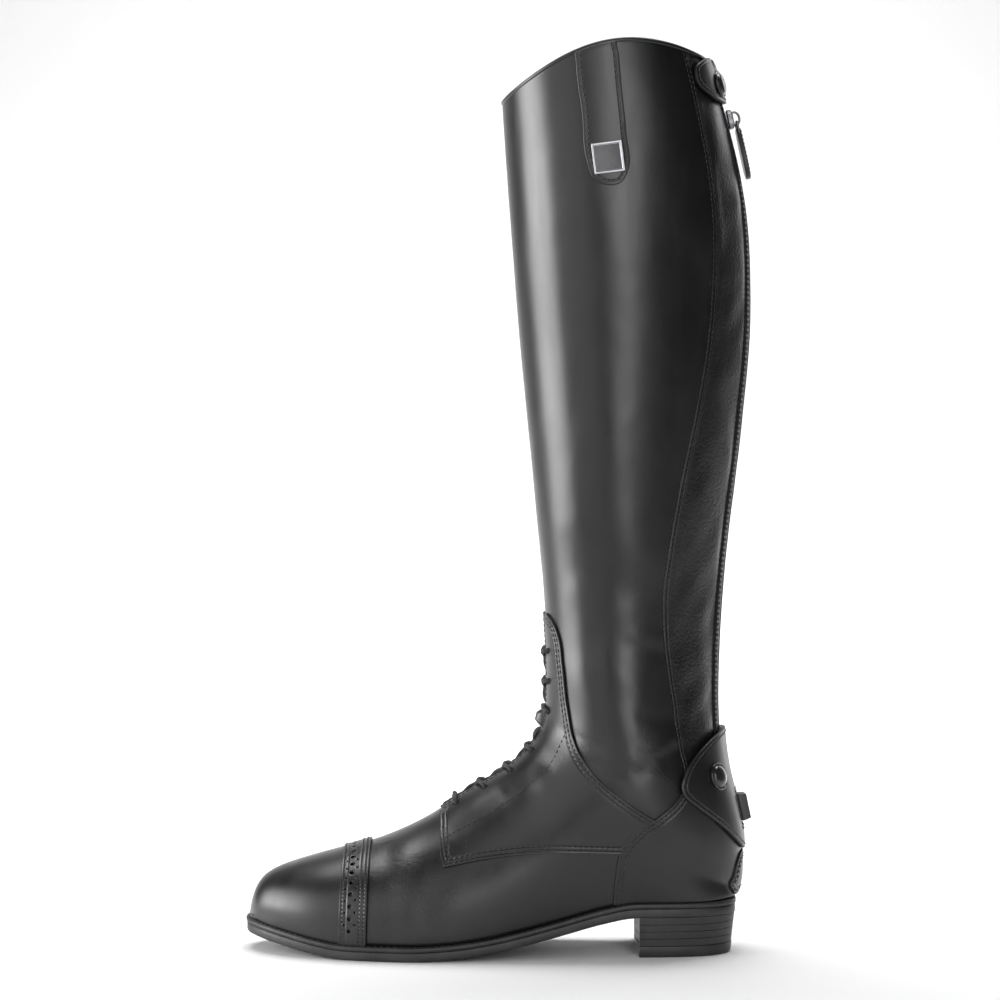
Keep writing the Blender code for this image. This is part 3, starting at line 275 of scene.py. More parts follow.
# Zip at the back: half width of the slot between the guards at a few places, and the guards' profile as
# (arc from the slot or, at its end, from the back line, height)
SLOT_PLACES = (22.6, 23.4, 24.5, 26.0, 31.0, 33.0, 34.0)
SLOT_HALVES = (0.5, 0.9, 1.5, 1.9, 2.0, 2.5, 2.9)
GUARD_ROLL = (
    (0.25, -2.3), (0.0, -1.2), (0.12, -0.35), (0.5, 0.3), (1.0, 0.55), (1.6, 0.45), (2.2, 0.15), (2.9, 0.0),
    (4.0, -0.05), (5.5, 0.0), (7.0, 0.0), (8.2, 0.0), (9.0, 0.0),
)
GUARD_END = ((11.7, -0.05), (12.0, -0.35), (12.05, -1.0))
GUARD_ROWS = (9.0, 11.3)
GUARD_START = 22.6
TAPE_PLACES = (22.0, 33.8)
TAPE_HALF = 9.5
TAPE_LOW = -2.35
TAPE_WALL = 0.7
TEETH_PLACES = (22.8, 33.7)
# Sections of one tooth, as (step across the zip, half width, half thickness)
TOOTH_SECTIONS = ((-0.55, 0.42, 0.45), (0.25, 0.62, 0.75), (1.9, 0.5, 0.75), (2.6, 0.36, 0.5))
SLIDER_SIZE = (8.4, 10.5, 3.4)
SLIDER_AT = (0.0, 1.8, -4.5)
BAIL_RADIUS = 0.65
LINK_RADIUS = 0.6
BAIL_ROUTE = ((0, -3.4, 2.4), (0, -3.4, 5.0), (0, -2.6, 5.9), (0, 2.6, 5.9), (0, 3.4, 5.0), (0, 3.4, 2.4))
PULL_AT = (20.84, -2.77, 453.66)
PULL_UP = (-0.2155, 0.0, 0.9765)
LINK_HALF = 6.2
LINK_LENGTH = 6.6
LINK_TURN = 0.9
TAB_THICK = 2.6
TAB_OUTLINE = (
    (-4.9, -4.0), (-6.4, -10.0), (-7.6, -17.0), (-7.7, -22.0), (-6.8, -27.4), (-3.8, -31.0), (0.0, -32.0),
    (3.8, -31.0), (6.8, -27.4), (7.7, -22.0), (7.6, -17.0), (6.4, -10.0), (4.9, -4.0),
)

# Lace and tongue
EYELET_ARC = 14.5
LOWER_EYELETS = (10.25, 11.45, 12.7, 14.05)
UPPER_EYELETS = (18.6, 21.8, 23.7)
TONGUE_PLACES = (9.0, 26.8)
TONGUE_HALF = 15.0
TONGUE_WALL = 1.6
ANKLE_PLACE = 15.9

# Sole unit, as (reach beyond the upper, height below the sole edge)
WELT_PROFILE = (
    (-6.0, -0.35), (2.2, -0.4), (2.75, -0.62), (3.0, -1.1), (3.0, -2.5), (2.75, -2.95), (2.2, -3.25),
    (-6.0, -3.3),
)
OUTSOLE_PROFILE = (
    (-6.0, -3.1), (1.9, -3.15), (2.4, -3.4), (2.6, -3.9), (2.6, -7.3), (2.35, -7.95), (1.7, -8.3),
    (-6.0, -8.35),
)
INSOLE_PROFILE = ((-2.6, 3.0), (-2.4, 2.7), (-2.4, 0.6))
WELT_SEAM = (1.75, -0.40)
SOLE_SPACING = 1.9
SOLE_EDGE_TOP = 30.0
HEEL_BREAST_X = -33.0
WELT_SEWN_X = HEEL_BREAST_X - 4.0
HEEL_REACH = 2.2
HEEL_TAPER = 0.955
HEEL_TOP = 21.75
BREAST_BOW = 2.6
LIFT_JOINTS = (17.9, 14.1, 10.2, 6.15)
JOINT_HALF = 0.16
JOINT_DEPTH = 0.22
# Rings of the top piece, as (height, reach)
TOP_PIECE_LEVELS = ((6.1, -0.3), (5.95, 0.1), (5.6, 0.25), (0.9, 0.25), (0.35, 0.05), (0.0, -0.5))

# Materials: node group, colour setting, group inputs in their order, depth of the bump, shader inputs.
# The first input of fine_marks is how much lighter its patches are.
COAT = {"Coat Weight": 0.12, "Coat Roughness": 0.25}
GLOSS = {"Coat Weight": 0.12, "Coat Roughness": 0.24}
METAL = {"Metallic": 1.0}
ENAMEL = {"Metallic": 0.6, "Coat Weight": 0.6, "Coat Roughness": 0.1}
MATERIALS = {
    "smooth_leather": ("leather", "leather", (1500.0, 0.12, 0.33, 1.4), 0.16, GLOSS),
    "panel_leather": ("leather", "leather", (1400.0, 0.14, 0.34, 1.4), 0.16, COAT),
    "flap_leather": ("leather", "leather", (1400.0, 0.16, 0.34, 1.4, 2.3, 2.3), 0.16, COAT),
    "guard_leather": ("leather", "leather", (1400.0, 0.2, 0.46), 0.16, {"Specular IOR Level": 0.2}),
    "grained_leather": ("leather", "leather", (720.0, 1.0, 0.36), 0.20, COAT),
    "lining_leather": ("leather", "lining", (800.0, 0.5, 0.62), 0.12, {}),
    "elastic": ("weave", "elastic", (5200.0, 7800.0), 0.12, {}),
    "zip_tape_weave": ("weave", "elastic", (6000.0, 6000.0, 0.4), 0.1, {}),
    "lace_braid": ("weave", "lace", (3600.0, 25.13, 0.6), 0.25, {}),
    "thread": ("fine_marks", "thread", (3.0, 0.5, 2500.0), 0.05, {}),
    "sole_rubber": ("fine_marks", "sole", (1.8, 0.48, 700.0), 0.10, {}),
    "spur_rubber": ("fine_marks", "spur_rest", (1.6, 0.5, 1200.0), 0.08, {}),
    "snap_enamel": ("fine_marks", "snap", (1.5, 0.3, 600.0), 0.02, ENAMEL),
    "badge_metal": ("fine_marks", "badge", (1.2, 0.3, 900.0), 0.02, METAL),
    "badge_field": ("fine_marks", "badge_field", (1.3, 0.42, 1600.0), 0.04, METAL),
    "gunmetal": ("fine_marks", "gunmetal", (1.5, 0.28, 900.0), 0.02, METAL),
    "zip_teeth": ("fine_marks", "zip_teeth", (2.0, 0.35, 1500.0), 0.02, {}),
    "studio_paper": ("fine_marks", "paper", (1.0, 0.7, 120.0), 0.0, {}),
}


def curve(first, second, first_slope, second_slope, s):
    """Smooth curve between two values with given slopes, at shares s of the way."""
    start = first * (1 + 2 * s) * (1 - s) ** 2 + first_slope * s * (1 - s) ** 2
    return start + second * s * s * (3 - 2 * s) + second_slope * s * s * (s - 1)


def smooth_read(keys, values, place):
    """Height of the smooth curve through (keys, values) that never overshoots its points."""
    keys, values = np.array(keys, dtype=float), np.array(values, dtype=float)
    slopes = np.diff(values) / np.diff(keys)
    tangents = np.concatenate((slopes[:1], np.zeros(len(keys) - 2), slopes[-1:]))
    before, after = slopes[:-1], slopes[1:]
    rising = before * after > 0
    tangents[1:-1][rising] = 2 * before[rising] * after[rising] / (before[rising] + after[rising])
    i = int(np.clip(np.searchsorted(keys, place, side="right") - 1, 0, len(keys) - 2))
    width = keys[i + 1] - keys[i]
    s = (place - keys[i]) / width
    return float(curve(values[i], values[i + 1], width * tangents[i], width * tangents[i + 1], s))


def read_table(columns, rows, place):
    """All columns of a table at one place, by its row column if it has one, else by row number."""
    keys = [row[0] if columns[0] == "row" else i for i, row in enumerate(rows)]
    return {
        name: smooth_read(keys, [row[i] for row in rows], place)
        for i, name in enumerate(columns) if name != "row"
    }


def half_section(place, side):
    """Points of one side of a section, from front to back, with their depth share and their arc length."""
    section = read_table(SECTION_COLUMNS, SECTIONS, place)
    widest, front_power, back_power = read_table(SHAPE_COLUMNS, SHAPES, place).values()
    front, back = (np.array([section[f"{end}_{axis}"] for axis in "xyz"]) for end in ("front", "back"))
    middle_y = front[1] + (back[1] - front[1]) * widest
    width = abs(section[side] - middle_y)
    end = min(abs(section[side + "_end"] - back[1]), 0.999 * width)
    turn = np.linspace(0, math.pi / 2, FINE_STEPS)
    depth = widest * (1 - np.cos(turn) ** (2 / front_power))
    bulge = np.sin(turn) ** (2 / front_power)
    reach = (1 - (end / width) ** back_power) ** (1 / back_power) if width > 0 else 1.0
    turn = np.linspace(0, math.asin(min(1.0, reach ** (back_power / 2))), FINE_STEPS)[1:]
    depth = np.append(depth, widest + (1 - widest) * np.sin(turn) ** (2 / back_power) / reach)
    bulge = np.append(bulge, np.abs(np.cos(turn)) ** (2 / back_power))
    depth[-1] = 1.0
    bulge[-1] = end / width if width > 0 else 0.0
    points = front + np.outer(depth, back - front)
    points[:, 1] += SIDES[side] * width * bulge
    points[:, 2] += read_table(COLLAR_COLUMNS, COLLAR, place)[side] * np.sin(math.pi * depth)
    return points, depth, run_lengths(points)


def run_lengths(points):
    """Length along a line at each of its points."""
    return np.append(0.0, np.cumsum(np.linalg.norm(np.diff(points, axis=0), axis=1)))


def read_line(points, lengths, wanted):
    """Points of a line at the wanted lengths along it."""
    return np.stack([np.interp(wanted, lengths, column) for column in points.T], axis=1)


def unit(vectors):
    """Vectors made one long."""
    return vectors / np.maximum(np.linalg.norm(vectors, axis=-1, keepdims=True), 1e-9)


def blurred(values, sigma, around=False):
    """Values evened out along their first axis, either round a ring or with both ends held."""
    reach = int(3 * sigma) + 1
    weights = np.exp(-0.5 * (np.arange(-reach, reach + 1) / sigma) ** 2)
    weights /= weights.sum()
    if around:
        before, after = values[-reach:], values[:reach]
    else:
        before = 2 * values[:1] - values[reach:0:-1]
        after = 2 * values[-1:] - values[-2:-reach - 2:-1]
    padded = np.concatenate((before, values, after))
    return sum(weight * padded[i:i + len(values)] for i, weight in enumerate(weights))


def ease(values):
    """Smooth step from 0 to 1."""
    values = np.clip(values, 0.0, 1.0)
    return values * values * (3 - 2 * values)


def smooth_line(corners, spacing, closed=False):
    """Close points along the smooth curve through a few corners."""
    corners = np.asarray(corners, dtype=float)
    if closed:
        corners = np.vstack((corners[-2:], corners, corners[:3]))
    lengths = run_lengths(corners)
    slopes = np.gradient(corners, lengths, axis=0)
    first, last = (2, len(corners) - 3) if closed else (0, len(corners) - 1)
    line = []
    for i in range(first, last):
        width = lengths[i + 1] - lengths[i]
        s = np.linspace(0, 1, max(2, math.ceil(width / spacing) + 1))[:-1, None]
        line.append(curve(corners[i], corners[i + 1], slopes[i] * width, slopes[i + 1] * width, s))
    if not closed:
        line.append(corners[-1:])
    return np.vstack(line)


def even_line(points, spacing):
    """The same line with its points an even distance apart."""
    lengths = run_lengths(points)
    count = max(2, int(round(lengths[-1] / spacing)) + 1)
    return read_line(points, lengths, np.linspace(0, lengths[-1], count))


def straight_sides(corners, spacing):
    """Even points along the straight runs between corners, without the last corner."""
    return np.vstack([even_line(np.array(pair), spacing)[:-1] for pair in zip(corners, corners[1:])])


class Skin:
    """Smooth outer surface of the boot.

    Rows run from the nose of the toe to the collar. Columns run from the medial back line or sole edge
    round the front to the lateral one.
    """

    def __init__(self):
        self.places = self.even_places()
        count = len(self.places)
        self.half = COLUMNS_A_SIDE
        self.points = np.zeros((count, 2 * self.half + 1, 3))
        self.lengths = {side: np.zeros(count) for side in SIDES}
        self.seams = {side: np.zeros(count) for side in SIDES}
        for r, place in enumerate(self.places):
            shares = read_table(SEAM_COLUMNS, SEAMS, place)
            for side in SIDES:
                points, depth, arc = half_section(place, side)
                columns = read_line(points, arc, np.linspace(0, arc[-1], self.half + 1))
                if side == "medial":
                    self.points[r, :self.half + 1] = columns[::-1]
                else:
                    self.points[r, self.half:] = columns
                self.lengths[side][r] = arc[-1]
                self.seams[side][r] = np.interp(shares[side], depth, arc)
        self.soften()
        self.find_normals()
        self.points += self.normals * (self.folds() + self.slack())[:, :, None]
        self.find_normals()
        self.worked = self.worked_leather()
        faces = grid_faces(*self.points.shape[:2])
        self.tree = BVHTree.FromPolygons(self.points.reshape(-1, 3).tolist(), faces.tolist())

    @staticmethod
    def even_places():
        """Places of the rows, an even distance apart along the boot."""
        fine = np.arange(0, COLLAR_ROW + SPINE_STEP / 2, SPINE_STEP)
        ends = [read_table(SECTION_COLUMNS, SECTIONS, place) for place in fine]
        lines = [np.array([(at[f"{end}_x"], at[f"{end}_z"]) for at in ends]) for end in ("front", "back")]
        lengths = sum(run_lengths(line) for line in lines) / 2
        return np.interp(np.linspace(0, lengths[-1], int(lengths[-1] / ROW_SPACING)), lengths, fine)

    def soften(self):
        """Even out the surface, more along the long shaft than on the foot."""
        closed = self.places >= FIRST_CLOSED_ROW
        across = np.swapaxes(self.points, 0, 1)
        ring = blurred(across[:-1], COLUMN_BLUR, around=True)
        ring = np.concatenate((ring, ring[:1]))
        across = np.where(closed[None, :, None], ring, blurred(across, COLUMN_BLUR))
        points = np.swapaxes(across, 0, 1)
        shaft = ease((self.places - 24.0) / 3.0)[:, None, None]
        even = blurred(points, FOOT_BLUR) * (1 - shaft) + blurred(points, SHAFT_BLUR) * shaft
        for edge, step in ((0, 1), (-1, -1)):
            slip = (1 - shaft[:, 0]) * (points[:, edge] - even[:, edge])
            for i in range(EDGE_COLUMNS):
                even[:, edge + step * i] += slip * ease(1 - i / EDGE_COLUMNS)
        self.points = even

    def find_normals(self):
        """Outward direction at every point of the grid."""
        up = np.gradient(self.points, axis=0)
        across = np.gradient(self.points, axis=1)
        closed = self.places >= FIRST_CLOSED_ROW
        across[closed, 0] = (self.points[closed, 1] - self.points[closed, -2]) / 2
        across[closed, -1] = across[closed, 0]
        up[closed, 0] = (up[closed, 0] + up[closed, -1]) / 2
        up[closed, -1] = up[closed, 0]
        self.normals = unit(np.cross(across, up))
        self.normals[0] = (-1.0, 0.0, 0.05)

    def folds(self):
        """Height of the listed folds at every point of the grid."""
        height = np.zeros(self.points.shape[:2])
        flat = self.points[:, :, [0, 2]]
        facing = ease((np.abs(self.normals[:, :, 1]) - 0.15) / 0.4)
        for x0, z0, x1, z1, reach, rise in SIDE_FOLDS:
            start, run = np.array((x0, z0)), np.array((x1 - x0, z1 - z0))
            share = ((flat - start) @ run) / (run @ run)
            away = np.linalg.norm(flat - start - np.clip(share, 0, 1)[:, :, None] * run, axis=2)
            height += rise * np.exp(-(away / reach) ** 2) * facing
        return height

    def slack(self):
        """Height of the gentle unevenness of leather that no last has pulled flat."""
        height = np.zeros(self.points.shape[:2])
        for r, c in np.ndindex(height.shape):
            for scale, stretch, rise in SLACK:
                x, y, z = self.points[r, c] / scale
                height[r, c] += rise * noise.noise(Vector((x, y, z / stretch)))
        return height * (0.35 + 0.65 * ease((self.places - 14.0) / 8.0))[:, None]

    def worked_leather(self):
        """How much the leather has creased from wear, from 0 to 1, at every point of the grid."""
        worked = np.zeros(self.points.shape[:2])
        for x, z, reach, strength in WORKED_PLACES:
            away = np.hypot(self.points[:, :, 0] - x, self.points[:, :, 2] - z)
            worked = np.maximum(worked, strength * np.exp(-(away / reach) ** 2))
        return worked

    def read(self, grid, rows, columns):
        """Values of a grid between its points."""
        rows = np.clip(np.asarray(rows, dtype=float), 0, len(self.places) - 1)
        columns = np.asarray(columns, dtype=float)
        columns = np.clip(np.where(columns < 0, columns + 2 * self.half, columns), 0, 2 * self.half)
        r = np.minimum(rows.astype(int), len(self.places) - 2)
        c = np.minimum(columns.astype(int), 2 * self.half - 1)
        s, t = rows - r, columns - c
        if grid.ndim == 3:
            s, t = s[..., None], t[..., None]
        low = grid[r, c] * (1 - t) + grid[r, c + 1] * t
        high = grid[r + 1, c] * (1 - t) + grid[r + 1, c + 1] * t
        return low * (1 - s) + high * s

    def at(self, rows, columns, height=0.0):
        """Points at a height over the surface, and the outward directions there."""
        normals = unit(self.read(self.normals, rows, columns))
        return self.read(self.points, rows, columns) + normals * np.asarray(height)[..., None], normals

    def on(self, line, height=0.0):
        """Points and outward directions at a height over a line of rows and columns."""
        return self.at(line[:, 0], line[:, 1], height)

    def spot(self, view, place):
        """Surface point under one place of a view."""
        return self.on(self.seen(view, [place]))[0][0]

    def row(self, place):
        """Row number of a place on the boot."""
        return np.interp(place, self.places, np.arange(len(self.places)))

    def reading(self, values, rows):
        """Values held per row, read between rows."""
        return np.interp(rows, np.arange(len(self.places)), values)

    def from_front(self, rows, side, arc):
        """Column at an arc length from the front line."""
        share = np.asarray(arc) / self.reading(self.lengths[side], rows)
        return self.half * (1 - SIDES[side] * share)

    def from_back(self, rows, side, arc):
        """Column at an arc length from the back line, negative on the lateral side."""
        return SIDES[side] * self.half * np.asarray(arc) / self.reading(self.lengths[side], rows)

    @staticmethod
    def both_ways(reader, rows, arcs):
        """Columns by one of the two readers above, for arcs above zero on the medial side."""
        columns = [reader(rows, "medial" if arc > 0 else "lateral", abs(arc)) for arc in arcs]
        return np.stack(columns, axis=1)

    def arc(self, line, side):
        """Arc lengths from the front line to the places on a line, below zero past it."""
        share = SIDES[side] * (1 - line[:, 1] / self.half)
        return share * self.reading(self.lengths[side], line[:, 0])

    def seam(self, rows, side, ahead):
        """Line of rows and columns ahead of the seam between front and rear panels."""
        columns = self.from_front(rows, side, self.reading(self.seams[side], rows) - ahead)
        return np.column_stack((rows, columns))

    def locate(self, where, face):
        """Row and column of a point on one face of the grid."""
        r, c = divmod(face, 2 * self.half)
        corner = self.points[r, c]
        sides = np.stack((self.points[r + 1, c] - corner, self.points[r, c + 1] - corner), axis=1)
        share = np.linalg.lstsq(sides, np.asarray(where) - corner, rcond=None)[0]
        return r + min(max(share[0], 0.0), 1.0), c + min(max(share[1], 0.0), 1.0)

    def settle(self, points):
        """Rows and columns of the surface points nearest to the given ones."""
        hits = [self.tree.find_nearest(Vector(point)) for point in points]
        return np.array([self.locate(hit[0], hit[2]) for hit in hits])

    def seen(self, view, line):
        """Rows and columns under a line drawn over the lateral, medial or back view of the boot."""
        found = []
        for a, b in line:
            if view == "back":
                start, aim, fallback = (200.0, a, b), (-1, 0, 0), (20.0, a, b)
            else:
                sign = SIDES[view]
                start, aim, fallback = (a, sign * 200.0, b), (0, -sign, 0), (a, sign * 12.0, b)
            where, _, face, _ = self.tree.ray_cast(Vector(start), Vector(aim))
            if where is None or (view == "back" and where.x < -100):
                where, _, face, _ = self.tree.find_nearest(Vector(fallback))
            found.append(self.locate(where, face))
        return self.round_back(found) if view == "back" else np.array(found)

    def drawn(self, view, corners, spacing=1.4, closed=False):
        """Rows and columns under the smooth curve through corners drawn over a view."""
        return self.seen(view, smooth_line(corners, spacing, closed))

    def round_back(self, line):
        """The same rows and columns with lateral columns counted from the back line, below zero."""
        line = np.array(line)
        line[:, 1] = np.where(line[:, 1] > self.half, line[:, 1] - 2 * self.half, line[:, 1])
        return line

    def inset(self, line, distance, toward):
        """A line on the surface moved sideways by a distance, to the side where a point lies."""
        points, normals = self.on(line)
        aside = np.cross(normals, unit(np.gradient(points, axis=0)))
        sign = 1.0 if ((np.asarray(toward) - points) * aside).sum() > 0 else -1.0
        return self.settle(points + sign * distance * aside)


@functools.lru_cache(maxsize=1)
def skin():
    """The boot's surface, worked out once."""
    return Skin()


def grid_faces(rows, columns, around=False):
    """Faces over a grid of points numbered row by row, with the rows joined into rings if wanted."""
    r, c = np.indices((rows - 1, columns if around else columns - 1)).reshape(2, -1)
    after = (c + 1) % columns
    low, high = r * columns, (r + 1) * columns
    return np.stack((low + c, low + after, high + after, high + c), axis=1)


def pick(obj):
    """Make one object the only selected and the active one."""
    bpy.ops.object.select_all(action="DESELECT")
    obj.select_set(True)
    bpy.context.view_layer.objects.active = obj


@contextlib.contextmanager
def editing(obj):
    """Edit mode on one object with everything selected."""
    pick(obj)
    bpy.ops.object.mode_set(mode="EDIT")
    bpy.ops.mesh.select_all(action="SELECT")
    yield
    bpy.ops.object.mode_set(mode="OBJECT")


def new_object(name, points, faces):
    """Object from points in millimetres and faces."""
    mesh = bpy.data.meshes.new(name)
    mesh.from_pydata((np.asarray(points).reshape(-1, 3) * MM).tolist(), [], [list(f) for f in faces])
    mesh.validate()
    obj = bpy.data.objects.new(name, mesh)
    bpy.context.scene.collection.objects.link(obj)
    return obj


def set_values(obj, name, values):
    """Store one number per vertex under a name."""
    attribute = obj.data.attributes.get(name) or obj.data.attributes.new(name, "FLOAT", "POINT")
    attribute.data.foreach_set("value", np.asarray(values, dtype=np.float32).ravel())


def set_uv(obj, u, v):
    """UV map from two numbers per vertex of a grid."""
    corners = np.zeros(len(obj.data.loops), dtype=np.int32)
    obj.data.loops.foreach_get("vertex_index", corners)
    pairs = np.stack(np.broadcast_arrays(u, v), axis=-1).reshape(-1, 2)[corners]
    obj.data.uv_layers.new(name="UVMap").data.foreach_set("uv", pairs.astype(np.float32).ravel())


def weld(obj, distance):
    """Join points that meet and set the faces to point outwards."""
    with editing(obj):
        bpy.ops.mesh.remove_doubles(threshold=distance)
        bpy.ops.mesh.normals_make_consistent(inside=False)


def shape(obj, wall=0.0, offset=-1.0, edge=0.0, segments=3, angle=50.0):
    """Give a sheet its wall and a piece its rounded edges, in millimetres, and shade it smooth.

    The wall goes outwards for offset 1 and inwards for offset -1.
    """
    if wall:
        modifier = obj.modifiers.new("wall", "SOLIDIFY")
        modifier.thickness = wall * MM
        modifier.offset = offset
        modifier.use_even_offset = False
    if edge:
        modifier = obj.modifiers.new("edges", "BEVEL")
        modifier.width = edge * MM
        modifier.segments = segments
        modifier.limit_method = "ANGLE"
        modifier.angle_limit = math.radians(angle)
        modifier.harden_normals = False
    pick(obj)
    for modifier in list(obj.modifiers):
        bpy.ops.object.modifier_apply(modifier=modifier.name)
    bpy.ops.object.shade_smooth_by_angle(angle=math.radians(SMOOTH_ANGLE))


def finish_piece(context, obj, look, nodes=(), body="boot"):
    """Give a piece its material, its place on the boot and the solids it stands for."""
    if MATERIALS[look][0] == "leather":
        for name, value in (("edge_distance", FAR_FROM_EDGE), ("worked", 0.0)):
            if name not in obj.data.attributes:
                set_values(obj, name, np.full(len(obj.data.vertices), value))
    obj.data.materials.clear()
    obj.data.materials.append(material(context, look))
    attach(obj, body)
    if nodes:
        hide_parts(*nodes)


def join(name, objects):
    """One piece from several."""
    bpy.ops.object.select_all(action="DESELECT")
    for obj in objects:
        obj.select_set(True)
    bpy.context.view_layer.objects.active = objects[0]
    bpy.ops.object.join()
    objects[0].name = name
    objects[0].data.name = name
    return objects[0]


def settle_piece(obj, matrix):
    """Move a piece made at the origin to its seat and keep the place in its mesh."""
    pick(obj)
    obj.matrix_world = matrix
    bpy.ops.object.transform_apply(location=True, rotation=True, scale=True)


def inside(points, loop):
    """Which points lie inside a closed outline."""
    x, y = points[:, :1], points[:, 1:]
    start, end = loop, np.roll(loop, -1, axis=0)
    crosses = (start[:, 1] > y) != (end[:, 1] > y)
    rise = np.where(end[:, 1] == start[:, 1], 1e-9, end[:, 1] - start[:, 1])
    meet = start[:, 0] + (y - start[:, 1]) * (end[:, 0] - start[:, 0]) / rise
    return (crosses & (x < meet)).sum(axis=1) % 2 == 1


def nearest(points, others):
    """Distance from each point to the nearest of the others, in space or on a plane."""
    tree = kdtree.KDTree(len(others))
    for i, other in enumerate(others):
        tree.insert((*other, 0.0)[:3], i)
    tree.balance()
    return np.array([tree.find((*point, 0.0)[:3])[2] for point in points])


def fill_outline(outline, holes=(), spacing=1.0):
    """Triangles over a flat outline with holes, as flat points and faces."""
    axes = [np.arange(a + spacing / 2, b, spacing) for a, b in zip(outline.min(axis=0), outline.max(axis=0))]
    inner = np.stack(np.meshgrid(*axes, indexing="ij"), axis=-1).reshape(-1, 2)
    keep = inside(inner, outline)
    for hole in holes:
        keep &= ~inside(inner, hole)
    inner = inner[keep]
    rims = np.vstack((outline, *holes))
    inner = inner[nearest(inner, rims) > 0.5 * spacing]
    edges, start = [], 0
    for loop in (outline, *holes):
        edges.extend((start + i, start + (i + 1) % len(loop)) for i in range(len(loop)))
        start += len(loop)
    verts = [Vector(point) for point in np.vstack((rims, inner))]
    flat, _, faces, *_ = delaunay_2d_cdt(verts, edges, [], 2, 1e-5)
    flat = np.array([tuple(point) for point in flat])
    middles = np.array([flat[list(face)].mean(axis=0) for face in faces])
    punched = np.zeros(len(faces), dtype=bool)
    for hole in holes:
        punched |= inside(middles, hole)
    return flat, [face[::-1] for face, gone in zip(faces, punched) if not gone]


def make_panel(name, outline, low, thickness, holes=(), edge=0.35, sewn=None):
    """Leather panel cut to an outline on the boot's surface, with rounded edges and punched holes."""
    surface = skin()
    flat, faces = fill_outline(outline, holes)
    points, _ = surface.on(flat, low)
    rim_points, _ = surface.on(outline if sewn is None else sewn, low)
    obj = new_object(name, points, faces)
    set_values(obj, "edge_distance", nearest(points, rim_points))
    set_values(obj, "worked", surface.read(surface.worked, flat[:, 0], flat[:, 1]))
    shape(obj, thickness, 1.0, edge)
    return obj


def strip_piece(name, rows, columns, heights, flip=False, keep=slice(None)):
    """Sheet over rows and columns of the surface, at one height or heights given for its grid."""
    surface = skin()
    rows = rows if rows.ndim == 2 else rows[:, None]
    faces = grid_faces(*columns.shape)[keep]
    obj = new_object(name, surface.at(rows, columns, heights)[0], faces[:, ::-1] if flip else faces)
    set_values(obj, "worked", surface.read(surface.worked, rows, columns))
    return obj


def sew(context, name, lines, height=None, body="boot", pitch_share=1.0):
    """Thread stitches along lines of rows and columns at a height, or of points and outward directions."""
    if height is not None:
        lines = [skin().on(line, height) for line in lines]
    sizes = context.scene.boot_sizes
    pitch = sizes.stitch_pitch / MM * pitch_share
    radius = sizes.thread_width / MM / 2
    half = 0.38 * pitch
    steps = np.array((-1.0, -0.62, 0.62, 1.0))[None, :, None, None]
    rise = np.array((-1.0, 0.25, 0.25, -1.0))[None, :, None, None] * radius
    girth = np.array((0.5, 1.0, 1.0, 0.5))[None, :, None, None] * radius
    turn = np.arange(6) * math.pi / 3
    cosine, sine = np.cos(turn)[None, None, :, None], np.sin(turn)[None, None, :, None]
    verts = []
    for points, normals in lines:
        lengths = run_lengths(points)
        count = int(lengths[-1] // pitch)
        middles = (np.arange(count) + 0.5) * lengths[-1] / max(count, 1)
        normal = unit(read_line(normals, lengths, middles))
        run = unit(read_line(points, lengths, middles + half) - read_line(points, lengths, middles - half))
        side = unit(np.cross(normal, run))
        run = unit(run + 0.10 * side)
        vectors = (read_line(points, lengths, middles), normal, run, side)
        centre, normal, run, side = (vector[:, None, None, :] for vector in vectors)
        block = centre + run * steps * half + normal * rise + girth * (cosine * side + sine * normal)
        verts.append(block.reshape(-1, 3))
    verts = np.vstack(verts)
    stitch = grid_faces(4, 6, around=True).tolist() + [[5, 4, 3, 2, 1, 0], list(range(18, 24))]
    faces = [[base + v for v in face] for base in range(0, len(verts), 24) for face in stitch]
    obj = new_object(name, verts, faces)
    weld(obj, 1e-9)
    shape(obj)
    finish_piece(context, obj, "thread", body=body)


def tube(name, path, radius, sides=10, closed=False, spacing=None):
    """Round cord along a path, with a UV map that runs along it, in metres, and once round it."""
    path = np.asarray(path, dtype=float)
    if spacing:
        path = even_line(path, spacing)
    lengths = run_lengths(path)
    runs = unit(np.gradient(path, axis=0))
    if closed:
        path[-1] = path[0]
        runs[0] = runs[-1] = unit(path[1] - path[-2])
    across = unit(np.cross(runs[0], (0.31, 0.53, 0.79)))
    frames = []
    for run in runs:
        across = unit(across - run * (across @ run))
        frames.append((across, np.cross(run, across)))
    if closed:
        frames[-1] = frames[0]
    turn = np.linspace(0, 2 * math.pi, sides + 1)
    rings = np.array([
        point + radius * (np.outer(np.cos(turn), a) + np.outer(np.sin(turn), b))
        for point, (a, b) in zip(path, frames)
    ])
    obj = new_object(name, rings, grid_faces(len(path), sides + 1)[:, ::-1])
    set_uv(obj, lengths[:, None] * MM, np.arange(sides + 1) / sides)
    with editing(obj):
        bpy.ops.mesh.remove_doubles(threshold=1e-7)
        if not closed:
            bpy.ops.mesh.select_all(action="SELECT")
            bpy.ops.mesh.region_to_loop()
            bpy.ops.mesh.edge_face_add()
        bpy.ops.mesh.select_all(action="SELECT")
        bpy.ops.mesh.normals_make_consistent(inside=False)
    shape(obj)
    return obj


def cube_piece(context, name, place, cuts=0):
    """Unit cube, cut up if wanted, whose points a function sets in millimetres."""
    bpy.ops.mesh.primitive_cube_add(size=1.0)
    obj = context.object
    obj.name = name
    if cuts:
        with editing(obj):
            bpy.ops.mesh.subdivide(number_cuts=cuts)
    for vert in obj.data.vertices:
        vert.co = [length * MM for length in place(*vert.co)]
    return obj


